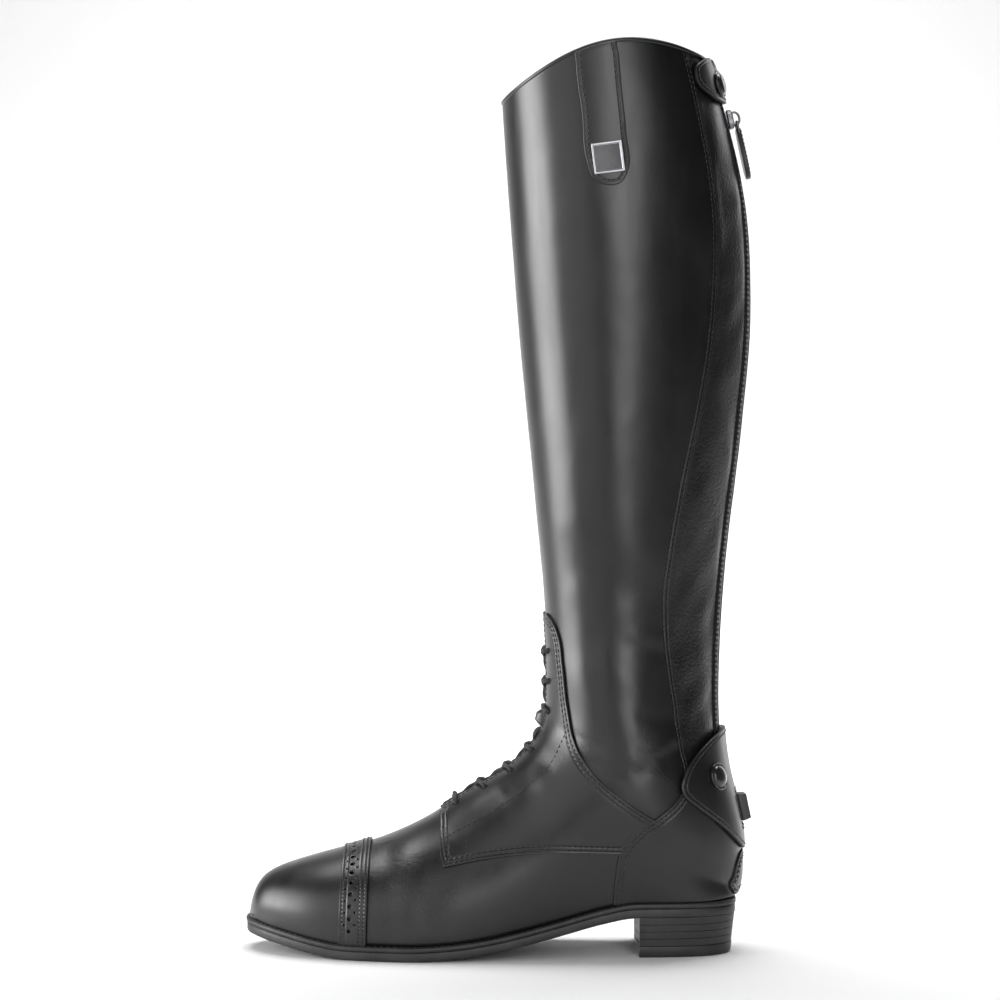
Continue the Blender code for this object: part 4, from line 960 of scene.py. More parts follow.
def work_top(obj, steps):
    """Inset and raise the top face of a piece in steps, in millimetres."""
    with editing(obj):
        bpy.ops.mesh.select_mode(type="FACE")
        bm = bmesh.from_edit_mesh(obj.data)
        for face in bm.faces:
            face.select = face.normal.z > 0.9
        bmesh.update_edit_mesh(obj.data)
        for inset, rise in steps:
            bpy.ops.mesh.inset(thickness=inset * MM)
            bpy.ops.transform.translate(value=(0.0, 0.0, rise * MM))


class Nodes:
    """Short calls that add nodes to a tree. Inputs are fed from sockets or set to plain values."""

    def __init__(self, tree):
        self.tree = tree

    def put(self, kind, inputs, **settings):
        """Outputs of a new node."""
        node = self.tree.nodes.new(f"ShaderNode{kind}")
        for name, value in settings.items():
            setattr(node, name, value)
        for key, value in inputs.items():
            if isinstance(value, bpy.types.NodeSocket):
                self.tree.links.new(value, node.inputs[key])
            else:
                node.inputs[key].default_value = value
        return node.outputs

    def calc(self, operation, *values, clamp=False):
        """Result of one arithmetic step."""
        return self.put("Math", dict(enumerate(values)), operation=operation, use_clamp=clamp)[0]

    def times(self, first, second, plus=0.0, clamp=False):
        """Product of two values, with a third added."""
        return self.calc("MULTIPLY_ADD", first, second, plus, clamp=clamp)

    def spread(self, value, low, high, to_low=0.0, to_high=1.0):
        """Value carried smoothly from one range to another."""
        inputs = {"Value": value, "From Min": low, "From Max": high, "To Min": to_low, "To Max": to_high}
        return self.put("MapRange", inputs, interpolation_type="SMOOTHSTEP")["Result"]

    def blend(self, factor, first, second):
        """Colour between two colours."""
        return self.put("Mix", {0: factor, 6: first, 7: second}, data_type="RGBA")[2]

    def cloud(self, vector, scale, detail, rough=0.55, distortion=0.0):
        """Soft noise."""
        inputs = {"Vector": vector, "Scale": scale, "Detail": detail, "Roughness": rough}
        return self.put("TexNoise", {**inputs, "Distortion": distortion})["Fac"]

    def place(self):
        """Object coordinates."""
        return self.put("TexCoord", {})["Object"]

    def stored(self, name):
        """Number stored per vertex."""
        return self.put("Attribute", {}, attribute_name=name)["Fac"]


def leather_surface(nodes, entry):
    """Colour, roughness and height of polished leather."""
    place = nodes.place()
    long_place = nodes.put("Mapping", {"Vector": nodes.place(), "Scale": (1.0, 1.0, 0.25)})["Vector"]
    worked, edge = nodes.stored("worked"), nodes.stored("edge_distance")
    cells = {"Vector": place, "Scale": entry["Grain Scale"]}
    pebbles = nodes.calc("SUBTRACT", 1.0, nodes.put("TexVoronoi", cells, feature="SMOOTH_F1")["Distance"])
    pores = nodes.cloud(place, nodes.times(entry["Grain Scale"], 2.6), 2.0)
    mottle = nodes.cloud(place, 34.0, 5.0, 0.6)
    smears = nodes.cloud(long_place, 90.0, 4.0, 0.6, 0.6)
    wrinkle = nodes.cloud(place, 330.0, 4.0, 0.6, 1.2)
    grain = nodes.times(pebbles, 0.8, nodes.times(pores, 0.5))
    height = nodes.times(grain, nodes.times(worked, 0.5, entry["Grain"]))
    height = nodes.times(nodes.times(wrinkle, worked), 1.6, height)
    away = [nodes.calc("SUBTRACT", edge, entry[row]) for row in ("First Row", "Second Row")]
    dips = [nodes.spread(nodes.calc("ABSOLUTE", row), 0.9, 0.1) for row in away]
    grooves = nodes.calc("MAXIMUM", *dips)
    height = nodes.calc("SUBTRACT", height, nodes.times(grooves, entry["Groove"]))
    raw = nodes.spread(edge, 0.5, 0.05)
    lighter = nodes.times(nodes.spread(mottle, 0.4, 0.75), 0.25, nodes.times(raw, 0.35), clamp=True)
    rough = nodes.times(nodes.calc("SUBTRACT", smears, 0.5), 0.22, entry["Polish"])
    rough = nodes.times(raw, 0.15, nodes.times(worked, 0.06, rough), clamp=True)
    return nodes.blend(lighter, entry["Color"], (0.022, 0.0215, 0.0215, 1.0)), rough, height


def weave_surface(nodes, entry):
    """Colour, roughness and height of a woven or braided surface, read from its UV map; the colour holds
    painted shade between the threads.
    """
    split = nodes.put("SeparateXYZ", {0: nodes.put("TexCoord", {})["UV"]})
    u, v = nodes.times(split[0], entry["Along"]), nodes.times(split[1], entry["Across"])
    first = nodes.calc("SINE", nodes.times(v, entry["Slant"], u))
    second = nodes.calc("SINE", nodes.calc("SUBTRACT", v, nodes.times(u, entry["Slant"])))
    threads = nodes.times(nodes.times(first, second), 0.5, 0.5)
    fuzz = nodes.cloud(nodes.place(), 900.0, 3.0)
    # Painted shade: the colour goes towards near black where the threads dip, in the gaps between them.
    gap_shade = nodes.times(nodes.calc("SUBTRACT", 1.0, threads), 0.6, clamp=True)
    colour = nodes.blend(gap_shade, entry["Color"], (0.003, 0.003, 0.003, 1.0))
    return colour, nodes.spread(fuzz, 0.2, 0.8, 0.55, 0.85), nodes.times(fuzz, 0.35, threads)


def marked_surface(nodes, entry):
    """Colour, roughness and height of moulded rubber, enamel or metal with fine marks."""
    marks = nodes.cloud(nodes.place(), entry["Mark Scale"], 4.0, 0.6)
    patches = nodes.cloud(nodes.place(), 60.0, 4.0, 0.6)
    colour = nodes.blend(nodes.spread(patches, 0.4, 0.75), entry["Color"], entry["Lighter"])
    rough = nodes.times(nodes.calc("SUBTRACT", marks, 0.5), 0.25, entry["Roughness"], clamp=True)
    return colour, rough, marks


# Node groups: what builds them, and their inputs after the colour with their usual values
GREY = (0.05, 0.05, 0.05, 1.0)
GROUPS = {
    "leather": (leather_surface, {
        "Grain Scale": 900.0, "Grain": 0.2, "Polish": 0.3, "Groove": 0.0, "First Row": 1.8, "Second Row": 4.2,
    }),
    "weave": (weave_surface, {"Along": 4000.0, "Across": 4000.0, "Slant": 0.0}),
    "fine_marks": (marked_surface, {"Lighter": GREY, "Roughness": 0.4, "Mark Scale": 500.0}),
}


def node_group(name):
    """Node group that puts out colour, roughness and height, made once."""
    if name in bpy.data.node_groups:
        return bpy.data.node_groups[name]
    group = bpy.data.node_groups.new(name, "ShaderNodeTree")
    build, inputs = GROUPS[name]
    for label, default in {"Color": GREY, **inputs}.items():
        kind = "NodeSocketColor" if default is GREY else "NodeSocketFloat"
        group.interface.new_socket(label, in_out="INPUT", socket_type=kind).default_value = default
    for label in ("Color", "Roughness", "Height"):
        kind = "NodeSocketColor" if label == "Color" else "NodeSocketFloat"
        group.interface.new_socket(label, in_out="OUTPUT", socket_type=kind)
    entry, leave = group.nodes.new("NodeGroupInput").outputs, group.nodes.new("NodeGroupOutput").inputs
    for value, target in zip(build(Nodes(group), entry), leave):
        group.links.new(value, target)
    return group


def material(context, name):
    """Material from its row of the table, with a Principled shader fed by its node group, made once."""
    if name in bpy.data.materials:
        return bpy.data.materials[name]
    group, setting, values, bump, shader_values = MATERIALS[name]
    colour = getattr(context.scene.boot_colours, setting)
    made = bpy.data.materials.new(name)
    made.use_nodes = True
    tree = made.node_tree
    shader = tree.nodes["Principled BSDF"]
    node = tree.nodes.new("ShaderNodeGroup")
    node.node_tree = node_group(group)
    node.inputs["Color"].default_value = made.diffuse_color = (*colour, 1.0)
    for label, value in zip(GROUPS[group][1], values):
        if label == "Lighter":
            value = (*(value * c for c in colour), 1.0)
        node.inputs[label].default_value = value
    relief = tree.nodes.new("ShaderNodeBump")
    relief.inputs["Distance"].default_value = bump * MM
    tree.links.new(node.outputs["Height"], relief.inputs["Height"])
    tree.links.new(relief.outputs["Normal"], shader.inputs["Normal"])
    tree.links.new(node.outputs["Color"], shader.inputs["Base Color"])
    tree.links.new(node.outputs["Roughness"], shader.inputs["Roughness"])
    for label, value in shader_values.items():
        shader.inputs[label].default_value = value
    return made


def length_property(label, use, default, low, high):
    """Length setting for the panel."""
    return FloatProperty(
        name=label, description=use, default=default, min=low, max=high, unit="LENGTH", subtype="DISTANCE",
    )


def colour_property(label, use, default):
    """Colour setting for the panel."""
    return FloatVectorProperty(
        name=label, description=use, default=default, min=0.0, max=1.0, size=3, subtype="COLOR",
    )


def power_property(label, use, default):
    """Light power setting for the panel."""
    return FloatProperty(name=label, description=use, default=default, min=0.0, unit="POWER")


class BootSizes(bpy.types.PropertyGroup):
    """Sizes of the small repeated details."""

    stitch_pitch: length_property("Stitch Pitch", "Length of one stitch with its gap", 0.0029, 0.001, 0.01)
    thread_width: length_property("Thread Width", "Thickness of the sewing thread", 0.00062, 0.0002, 0.002)
    lace_width: length_property("Lace Width", "Thickness of the round lace", 0.0026, 0.001, 0.006)
    punch_width: length_property(
        "Punch Width", "Width of the large punched holes on the toe strip", 0.0023, 0.001, 0.005,
    )
    punch_pitch: length_property(
        "Punch Pitch", "Distance between the large punched holes", 0.0066, 0.004, 0.02,
    )
    eyelet_width: length_property("Eyelet Width", "Width of the punched lace holes", 0.0036, 0.002, 0.006)
    tooth_pitch: length_property(
        "Zip Tooth Pitch", "Distance between teeth on one side of the zip", 0.0021, 0.001, 0.004,
    )
    tongue_bulge: length_property(
        "Tongue Bulge", "How far the tongue stands out between the facings at the ankle", 0.0085, 0.0, 0.012,
    )


class BootColours(bpy.types.PropertyGroup):
    """Colours of the materials."""

    leather: colour_property("Leather", "Black calf of the panels", (0.0055, 0.0055, 0.006))
    elastic: colour_property("Elastic", "Elastic panel and zip tape", (0.014, 0.014, 0.015))
    thread: colour_property("Thread", "Sewing thread", (0.014, 0.014, 0.014))
    lace: colour_property("Lace", "Braided lace", (0.016, 0.016, 0.016))
    lining: colour_property("Lining", "Leather inside the shaft", (0.030, 0.028, 0.027))
    sole: colour_property("Sole", "Welt, outsole and heel", (0.014, 0.014, 0.014))
    spur_rest: colour_property("Spur Rest", "Rubber block on the heel flap", (0.045, 0.045, 0.046))
    snap: colour_property("Snaps", "Enamelled snap caps", (0.030, 0.030, 0.032))
    badge: colour_property("Badge", "Metal plate on the strap", (0.42, 0.42, 0.43))
    badge_field: colour_property("Badge Field", "Sunk face of the plate", (0.084, 0.084, 0.086))
    gunmetal: colour_property("Gunmetal", "Zip slider and link", (0.16, 0.16, 0.17))
    zip_teeth: colour_property("Zip Teeth", "Teeth of the zip", (0.012, 0.012, 0.012))
    paper: colour_property("Paper", "Floor and backdrop", (0.86, 0.86, 0.86))


class BootStudio(bpy.types.PropertyGroup):
    """Camera and light."""

    lens: FloatProperty(
        name="Lens", description="Focal length of the camera", default=120.0, min=20.0, max=300.0,
        unit="CAMERA",
    )
    distance: length_property("Distance", "Camera to boot", 1.83, 0.5, 5.0)
    elevation: FloatProperty(
        name="Elevation", description="Camera angle above the floor", default=math.radians(2.0),
        min=0.0, max=1.5, unit="ROTATION", subtype="ANGLE",
    )
    side_power: power_property("Side Light", "Power of the soft box at the toe side", 7.0)
    fill_power: power_property("Fill Light", "Power of the large dim light left of the camera", 8.0)
    strip_power: power_property("Strip Light", "Power of the narrow light beside the camera", 11.0)
    top_power: power_property("Top Light", "Power of the soft box overhead", 38.0)
    back_power: power_property("Back Light", "Power of the light behind the heel", 3.5)


class BOOT_OT_front_panel(bpy.types.Operator):
    """Vamp and shaft front in one smooth panel, ending on the raw rear seams"""

    bl_idname = "boot.front_panel"
    bl_label = "Front Panel"

    def execute(self, context):
        surface = skin()
        rows = np.arange(len(surface.places), dtype=float)
        open_part = ease(surface.places - SEAM_START + 1.0)[:, None]
        halves = []
        for side in ("medial", "lateral"):
            full, seam = surface.lengths[side][:, None], surface.seams[side][:, None]
            end = full * (1 - open_part) + seam * open_part
            throat = np.minimum(THROAT_HALF, 0.1 * end)
            arcs = np.hstack((0 * throat, throat + (end - throat) * np.linspace(0, 1, FRONT_COLUMNS)))
            edge = end - arcs + 2 * FAR_FROM_EDGE * (1 - open_part)
            halves.append((surface.from_front(rows[:, None], side, arcs), edge))
        columns, edge = (np.hstack((medial[:, ::-1], lateral[:, 1:])) for medial, lateral in zip(*halves))
        r, c = np.indices((len(rows) - 1, columns.shape[1] - 1)).reshape(2, -1)
        low, high = (surface.row(place) for place in THROAT_PLACES)
        middle = columns.shape[1] // 2
        throat = (r >= low) & (r < high) & ((c == middle) | (c == middle - 1))
        obj = strip_piece("front_panel", rows, columns, 0.0, keep=~throat)
        set_values(obj, "edge_distance", edge)
        weld(obj, 1e-7)
        shape(obj, FRONT_WALL, edge=0.3, segments=2)
        finish_piece(context, obj, "smooth_leather", ("upper",))
        rows = np.arange(surface.row(SEAM_START), len(surface.places) - 1.5)
        lines = [surface.seam(rows, side, ahead) for side in SIDES for ahead in SEAM_ROWS]
        sew(context, "front_panel_stitches", lines, 0.0)
        return {"FINISHED"}


class BOOT_OT_rear_panels(bpy.types.Operator):
    """Grained leather panel, elastic panel and the two guards of the back zip"""

    bl_idname = "boot.rear_panels"
    bl_label = "Rear Panels"

    def execute(self, context):
        surface = skin()
        rows = np.arange(surface.row(REAR_START), len(surface.places) - 0.5, 0.75)
        guard_rows = np.arange(surface.row(GUARD_START), len(surface.places) - 2.0)
        shares = np.linspace(0, 1, REAR_COLUMNS)
        lines = []
        for side in SIDES:
            seam = surface.reading(surface.lengths[side] - surface.seams[side], rows)[:, None]
            arcs = (seam + REAR_UNDERLAP) * (1 - shares) + REAR_END * shares
            columns = surface.from_back(rows[:, None], side, arcs)
            if side == "lateral":
                columns = columns + 2 * surface.half
                heights = -SEAM_DROP + self.crumple(surface.at(rows[:, None], columns)[0], arcs, seam)
                obj = strip_piece("rear_panel_leather", rows, columns, heights)
                look, slot = "grained_leather", "shaft_leather"
            else:
                obj = strip_piece("rear_panel_elastic", rows, columns, -SEAM_DROP, flip=True)
                set_uv(obj, np.linspace(0, 0.36, len(rows))[:, None], arcs * MM)
                look, slot = "elastic", "textile"
            shape(obj, REAR_WALL)
            finish_piece(context, obj, look)
            self.guard(context, side)
            for arc in GUARD_ROWS:
                lines.append(np.column_stack((guard_rows, surface.from_back(guard_rows, side, arc))))
        sew(context, "zip_guard_stitches", lines, 0.1)
        return {"FINISHED"}

    @staticmethod
    def crumple(points, arcs, seam):
        """Soft slack folds of the grained panel, fading towards its sewn edges."""
        height = np.zeros(points.shape[:2])
        for place in np.ndindex(height.shape):
            x, y, z = points[place]
            slack = noise.noise(Vector((x * 0.035, y * 0.05, z * 0.022 + 0.3 * x * 0.035)))
            fold = noise.noise(Vector((x * 0.05 + 7.0, y * 0.05, z * 0.06 - x * 0.05)))
            height[place] = 1.1 * slack + 0.55 * fold
        return height * ease(np.minimum(arcs - 11.0, seam - arcs) / 7.0)

    @staticmethod
    def guard(context, side):
        """Smooth strip beside the zip with a rolled edge at the slot."""
        surface = skin()
        rows = np.arange(surface.row(GUARD_START), len(surface.places) - 0.5)
        slot = np.interp(surface.reading(surface.places, rows), SLOT_PLACES, SLOT_HALVES)[:, None]
        roll, end = np.array(GUARD_ROLL), np.array(GUARD_END)
        arcs = np.hstack((slot + roll[:, 0], np.tile(end[:, 0], (len(rows), 1))))
        columns = surface.from_back(rows[:, None], side, arcs)
        outer = side == "lateral"
        if outer:
            columns = columns + 2 * surface.half
        obj = strip_piece(f"zip_guard_{side}", rows, columns, np.append(roll[:, 1], end[:, 1]), flip=outer)
        if outer:
            weld(obj, 1e-9)
        shape(obj, REAR_WALL)
        finish_piece(context, obj, "guard_leather")


class BOOT_OT_lining(bpy.types.Operator):
    """Lining inside the shaft and foot, and the bound edge of the collar"""

    bl_idname = "boot.lining"
    bl_label = "Lining and Collar"

    def execute(self, context):
        surface = skin()
        rows = np.arange(surface.row(1.0), len(surface.places) - 0.5)
        columns = np.tile(np.arange(0, 2 * surface.half + 1, 2.0), (len(rows), 1))
        obj = strip_piece("lining", rows, columns, LINING_LOW, flip=True)
        weld(obj, 1e-7)
        shape(obj, REAR_WALL)
        finish_piece(context, obj, "lining_leather")
        top = len(surface.places) - 1.0
        ends = [surface.from_back(top, side, SLOT_HALVES[-1] + 0.5) for side in SIDES]
        columns = np.linspace(max(ends), 2 * surface.half + min(ends), 180)
        path, _ = surface.at(np.full(len(columns), top), columns, BINDING_LOW)
        bead = tube("collar_binding", path, BINDING_RADIUS, 12, spacing=1.6)
        finish_piece(context, bead, "panel_leather")
        return {"FINISHED"}


class BOOT_OT_toe_cap(bpy.types.Operator):
    """Toe cap with its punched and stitched strip"""

    bl_idname = "boot.toe_cap"
    bl_label = "Toe Cap"

    def execute(self, context):
        columns = np.arange(2 * skin().half + 1, dtype=float)
        rows = np.linspace(np.zeros(len(columns)), self.rows_at(STRIP_FRONT_X + 2.0), CAP_ROWS)
        obj = strip_piece("toe_cap_leather", rows, np.tile(columns, (CAP_ROWS, 1)), CAP_TOP)
        weld(obj, 1e-7)
        shape(obj, CAP_WALL)
        finish_piece(context, obj, "panel_leather", ("toe_cap",))
        self.strip(context, columns)
        return {"FINISHED"}

    @staticmethod
    def rows_at(x):
        """Rows where each column crosses a plane across the foot that leans a little."""
        foot = skin().points[:int(skin().row(12.0))]
        along = foot[:, :, 0] - STRIP_LEAN * (foot[:, :, 2] - 30.0)
        return np.array([np.interp(x, column, np.arange(len(column))) for column in along.T])

    @staticmethod
    def ring(centre, radius, sides):
        """Closed ring of flat points."""
        turn = np.arange(sides) * 2 * math.pi / sides
        return np.stack((centre[0] + radius * np.cos(turn), centre[1] + radius * np.sin(turn)), axis=1)

    def strip(self, context, columns):
        """Band behind the cap: large punched holes with pairs of small ones between them."""
        surface = skin()
        sizes = context.scene.boot_sizes
        rear, front = self.rows_at(STRIP_REAR_X), self.rows_at(STRIP_FRONT_X)
        lengths = run_lengths(surface.at((rear + front) / 2, columns, STRIP_LOW)[0])
        total, width = lengths[-1], STRIP_REAR_X - STRIP_FRONT_X

        def on_boot(flat):
            column = np.interp(flat[:, 0], lengths, columns)
            share = flat[:, 1] / width
            row = np.interp(column, columns, rear) * (1 - share) + np.interp(column, columns, front) * share
            return np.stack((row, column), axis=1)

        holes = []
        pitch, radius = sizes.punch_pitch / MM, sizes.punch_width / MM / 2
        count = int((total - 8.0) / pitch)
        first = (total - (count - 1) * pitch) / 2
        for i in range(count):
            holes.append(self.ring((first + i * pitch, PUNCH_ACROSS), radius, 14))
            if i + 1 < count:
                for across in SMALL_PUNCHES_ACROSS:
                    holes.append(self.ring((first + (i + 0.5) * pitch, across), radius / 2, 8))
        corners = ((0.0, 0.0), (total, 0.0), (total, width), (0.0, width), (0.0, 0.0))
        flat, faces = fill_outline(straight_sides(corners, 1.2), holes, 1.1)
        # The corner that each triangle starts at sets how the rounded rims of the holes meet
        faces = np.roll(faces, 1, axis=1)
        obj = new_object("toe_strip", surface.on(on_boot(flat), STRIP_LOW)[0], faces)
        set_values(obj, "edge_distance", np.minimum(flat[:, 1], width - flat[:, 1] + 0.6))
        shape(obj, STRIP_THICK, 1.0, 0.22, 2)
        finish_piece(context, obj, "panel_leather")
        along = np.linspace(1.5, total - 1.5, 150)
        lines = []
        for across in (1.8, 4.1, width - 1.2):
            lines.append(on_boot(np.column_stack((along, np.full(len(along), across)))))
        sew(context, "toe_strip_stitches", lines, STRIP_LOW + STRIP_THICK, pitch_share=0.75)


class BOOT_OT_quarters(bpy.types.Operator):
    """Quarters with their lacing facings, punched eyelets and stitching"""

    bl_idname = "boot.quarters"
    bl_label = "Quarters"

    def execute(self, context):
        for side in SIDES:
            self.quarter(context, side)
        return {"FINISHED"}

    @staticmethod
    def quarter(context, side):
        """One quarter, cut from the surface on its side of the throat."""
        surface = skin()
        edges = (QUARTER_FRONT, QUARTER_LOWER, QUARTER_HIDDEN, QUARTER_UPPER)
        front, lower, hidden, upper = (surface.drawn(side, corners) for corners in edges)
        upper, front = (line[surface.arc(line, side) > THROAT_HALF] for line in (upper, front))
        rows = np.arange(upper[-1, 0] - 0.2, surface.row(THROAT_PLACES[0]) - 3.0, -0.7)
        facing = np.column_stack((rows, surface.from_front(rows, side, THROAT_HALF - 0.4)))
        outline = np.vstack((lower[:-1], hidden[:-1], upper[:-1], facing, front[:-1]))
        radius = context.scene.boot_sizes.eyelet_width / MM / 2
        turn = np.arange(12) * math.pi / 6
        holes = []
        for place in (*LOWER_EYELETS, *UPPER_EYELETS):
            row = surface.row(place)
            centre, normal = surface.at(row, surface.from_front(row, side, EYELET_ARC))
            run = unit(np.cross(normal, (0.0, 1.0, 0.3)))
            rim = np.outer(np.cos(turn), run) + np.outer(np.sin(turn), np.cross(normal, run))
            holes.append(surface.settle(centre + radius * rim))
        name = f"quarter_{side}"
        obj = make_panel(name, outline, OVERLAY_LOW, OVERLAY_TOP - OVERLAY_LOW, holes)
        nodes = ("quarter",) if side == "lateral" else ()
        finish_piece(context, obj, "panel_leather", nodes)
        middle, inner = surface.spot(side, (-85.0, 82.0)), surface.spot(side, (-82.0, 150.0))
        lines = []
        for away in PANEL_ROWS:
            lines.append(surface.inset(np.vstack((front[2:-1], lower)), away, middle))
            lines.append(surface.inset(upper[2:], away, inner))
        lines.append(surface.inset(facing[2:], 2.4, middle))
        lines.append(surface.drawn(side, QUARTER_LINE))
        lines.extend(surface.drawn(side, ((x, 64.0), (x + 0.4, 59.0)), 1.0) for x in QUARTER_BARS_X)
        sew(context, f"{name}_stitches", lines, OVERLAY_TOP)


class BOOT_OT_counter(bpy.types.Operator):
    """Heel counter in two halves that meet at the back, and the patch low on its back"""

    bl_idname = "boot.counter"
    bl_label = "Counter"

    def execute(self, context):
        surface = skin()
        halves, lines = [], []
        for side in SIDES:
            nudge = SIDES[side] * 1e-4
            edge = surface.round_back(surface.drawn(side, COUNTER_EDGE))
            low_row, high_row = edge[0, 0], edge[-1, 0]
            back_rows = np.arange(high_row, low_row, -0.8)
            back = np.column_stack((back_rows, np.full(len(back_rows), nudge)))
            top = np.linspace(edge[-1], (high_row, 0.0), 16)[1:-1]
            flat, faces = fill_outline(np.vstack((edge, top, back)))
            flat[:, 1] = np.where(np.abs(flat[:, 1]) < 1e-3, nudge, flat[:, 1])
            points, _ = surface.on(flat, OVERLAY_TOP)
            half = new_object(f"counter_{side}", points, faces)
            set_values(half, "edge_distance", nearest(points, surface.on(edge, OVERLAY_TOP)[0]))
            halves.append(half)
            inner = surface.spot(side, (-8.0, 60.0))
            lines.extend(surface.inset(edge[3:-3], away, inner) for away in PANEL_ROWS)
        obj = join("counter_leather", halves)
        weld(obj, 2e-5)
        shape(obj, COUNTER_WALL, edge=0.35)
        finish_piece(context, obj, "panel_leather", ("counter",))
        sew(context, "counter_stitches", lines, OVERLAY_TOP)
        outline = surface.drawn("back", HEEL_PATCH_OUTLINE, 1.2, closed=True)
        patch = make_panel("heel_patch_leather", outline, PATCH_LOW, PATCH_THICK)
        finish_piece(context, patch, "panel_leather", ("heel_patch",))
        inner = surface.spot("back", (0.6, 42.0))
        lines = [surface.inset(np.vstack((outline, outline[:1])), away, inner) for away in PATCH_ROWS]
        sew(context, "heel_patch_stitches", lines, PATCH_LOW + PATCH_THICK)
        return {"FINISHED"}


class BOOT_OT_flaps(bpy.types.Operator):
    """Snap flaps over the two ends of the zip"""

    bl_idname = "boot.flaps"
    bl_label = "Flaps"

    def execute(self, context):
        surface = skin()
        for name, corners, low, centre, seams, limit in (
            ("heel_flap", HEEL_FLAP_OUTLINE, HEEL_FLAP_LOW, (0.0, 88.0), (21.0, 23.4), math.inf),
            ("top_flap", TOP_FLAP_OUTLINE, TOP_FLAP_LOW, (-9.0, 473.0), (9.2, 11.2), TOP_FLAP_SEWN),
        ):
            outline = surface.drawn("back", corners, 1.2, closed=True)
            obj = make_panel(f"{name}_leather", outline, low, FLAP_THICK, edge=0.7)
            finish_piece(context, obj, "flap_leather", (name,))
            lines = [surface.inset(np.vstack((outline, outline[:2])), 2.2, surface.spot("back", centre))]
            for y in seams:
                bottom, top = self.span(corners, y)
                lines.append(surface.drawn("back", ((y, bottom + 3.0), (y, top - 3.0)), 1.2))
            lines = [run for line in lines for run in self.below(line, limit)]
            sew(context, f"{name}_stitches", lines, low + FLAP_THICK)
        return {"FINISHED"}

    @staticmethod
    def below(line, limit):
        """The unbroken parts of a line that lie below a height."""
        low = np.flatnonzero(skin().on(line)[0][:, 2] < limit)
        runs = np.split(low, np.flatnonzero(np.diff(low) > 1) + 1)
        return [line[run] for run in runs if len(run) > 2]

    @staticmethod
    def span(corners, y):
        """Lowest and highest point of an outline at a distance across it."""
        line = smooth_line(corners, 0.5, closed=True)
        near = line[np.abs(line[:, 0] - y) < 0.6]
        return near[:, 1].min(), near[:, 1].max()


class BOOT_OT_strap(bpy.types.Operator):
    """Strap that hangs from the collar on the outer side"""

    bl_idname = "boot.strap"
    bl_label = "Side Strap"

    def execute(self, context):
        surface = skin()
        edge = surface.drawn("lateral", STRAP_EDGE, 1.0)
        top = len(surface.places) - 1.2
        first, last = (np.linspace((top, end[1]), end, 6)[:-1] for end in (edge[0], edge[-1]))
        edge = np.vstack((first, edge, last[::-1]))
        outline = np.vstack((edge, np.linspace(edge[-1], edge[0], 20)[1:-1]))
        obj = make_panel("side_strap_leather", outline, OVERLAY_LOW, STRAP_WALL, edge=0.45, sewn=edge)
        finish_piece(context, obj, "flap_leather", ("side_strap",))
        line = surface.inset(edge[1:-1], 2.4, surface.spot("lateral", (-53.0, 440.0)))
        sew(context, "side_strap_stitches", [line], OVERLAY_LOW + STRAP_WALL)
        return {"FINISHED"}


def tongue_height(context, places, arcs):
    """Height of the tongue over the surface: low behind the facings, bulging between them at the ankle."""
    bulge = context.scene.boot_sizes.tongue_bulge / MM
    main = np.exp(-((places - ANKLE_PLACE) / np.where(places < ANKLE_PLACE, 0.6, 2.6)) ** 2)
    second = 0.06 * np.exp(-((places - 11.6) / 1.6) ** 2)
    ripple = 0.4 * np.sin(places * 4.2) * main
    across = np.clip(1 - (arcs / 5.6) ** 2, 0, 1) ** 0.7
    return -2.2 + (bulge * (main + second) + ripple) * across


class BOOT_OT_tongue(bpy.types.Operator):
    """Grained tongue behind the facings, bulging where the ankle bends"""

    bl_idname = "boot.tongue"
    bl_label = "Tongue"

    def execute(self, context):
        surface = skin()
        rows = np.arange(*(surface.row(place) for place in TONGUE_PLACES), 0.8)
        arcs = np.linspace(TONGUE_HALF, -TONGUE_HALF, 41)
        columns = surface.both_ways(surface.from_front, rows, arcs)
        heights = tongue_height(context, surface.reading(surface.places, rows)[:, None], arcs)
        obj = strip_piece("tongue_leather", rows, columns, heights)
        shape(obj, TONGUE_WALL, edge=0.4)
        finish_piece(context, obj, "grained_leather", ("tongue",))
        return {"FINISHED"}


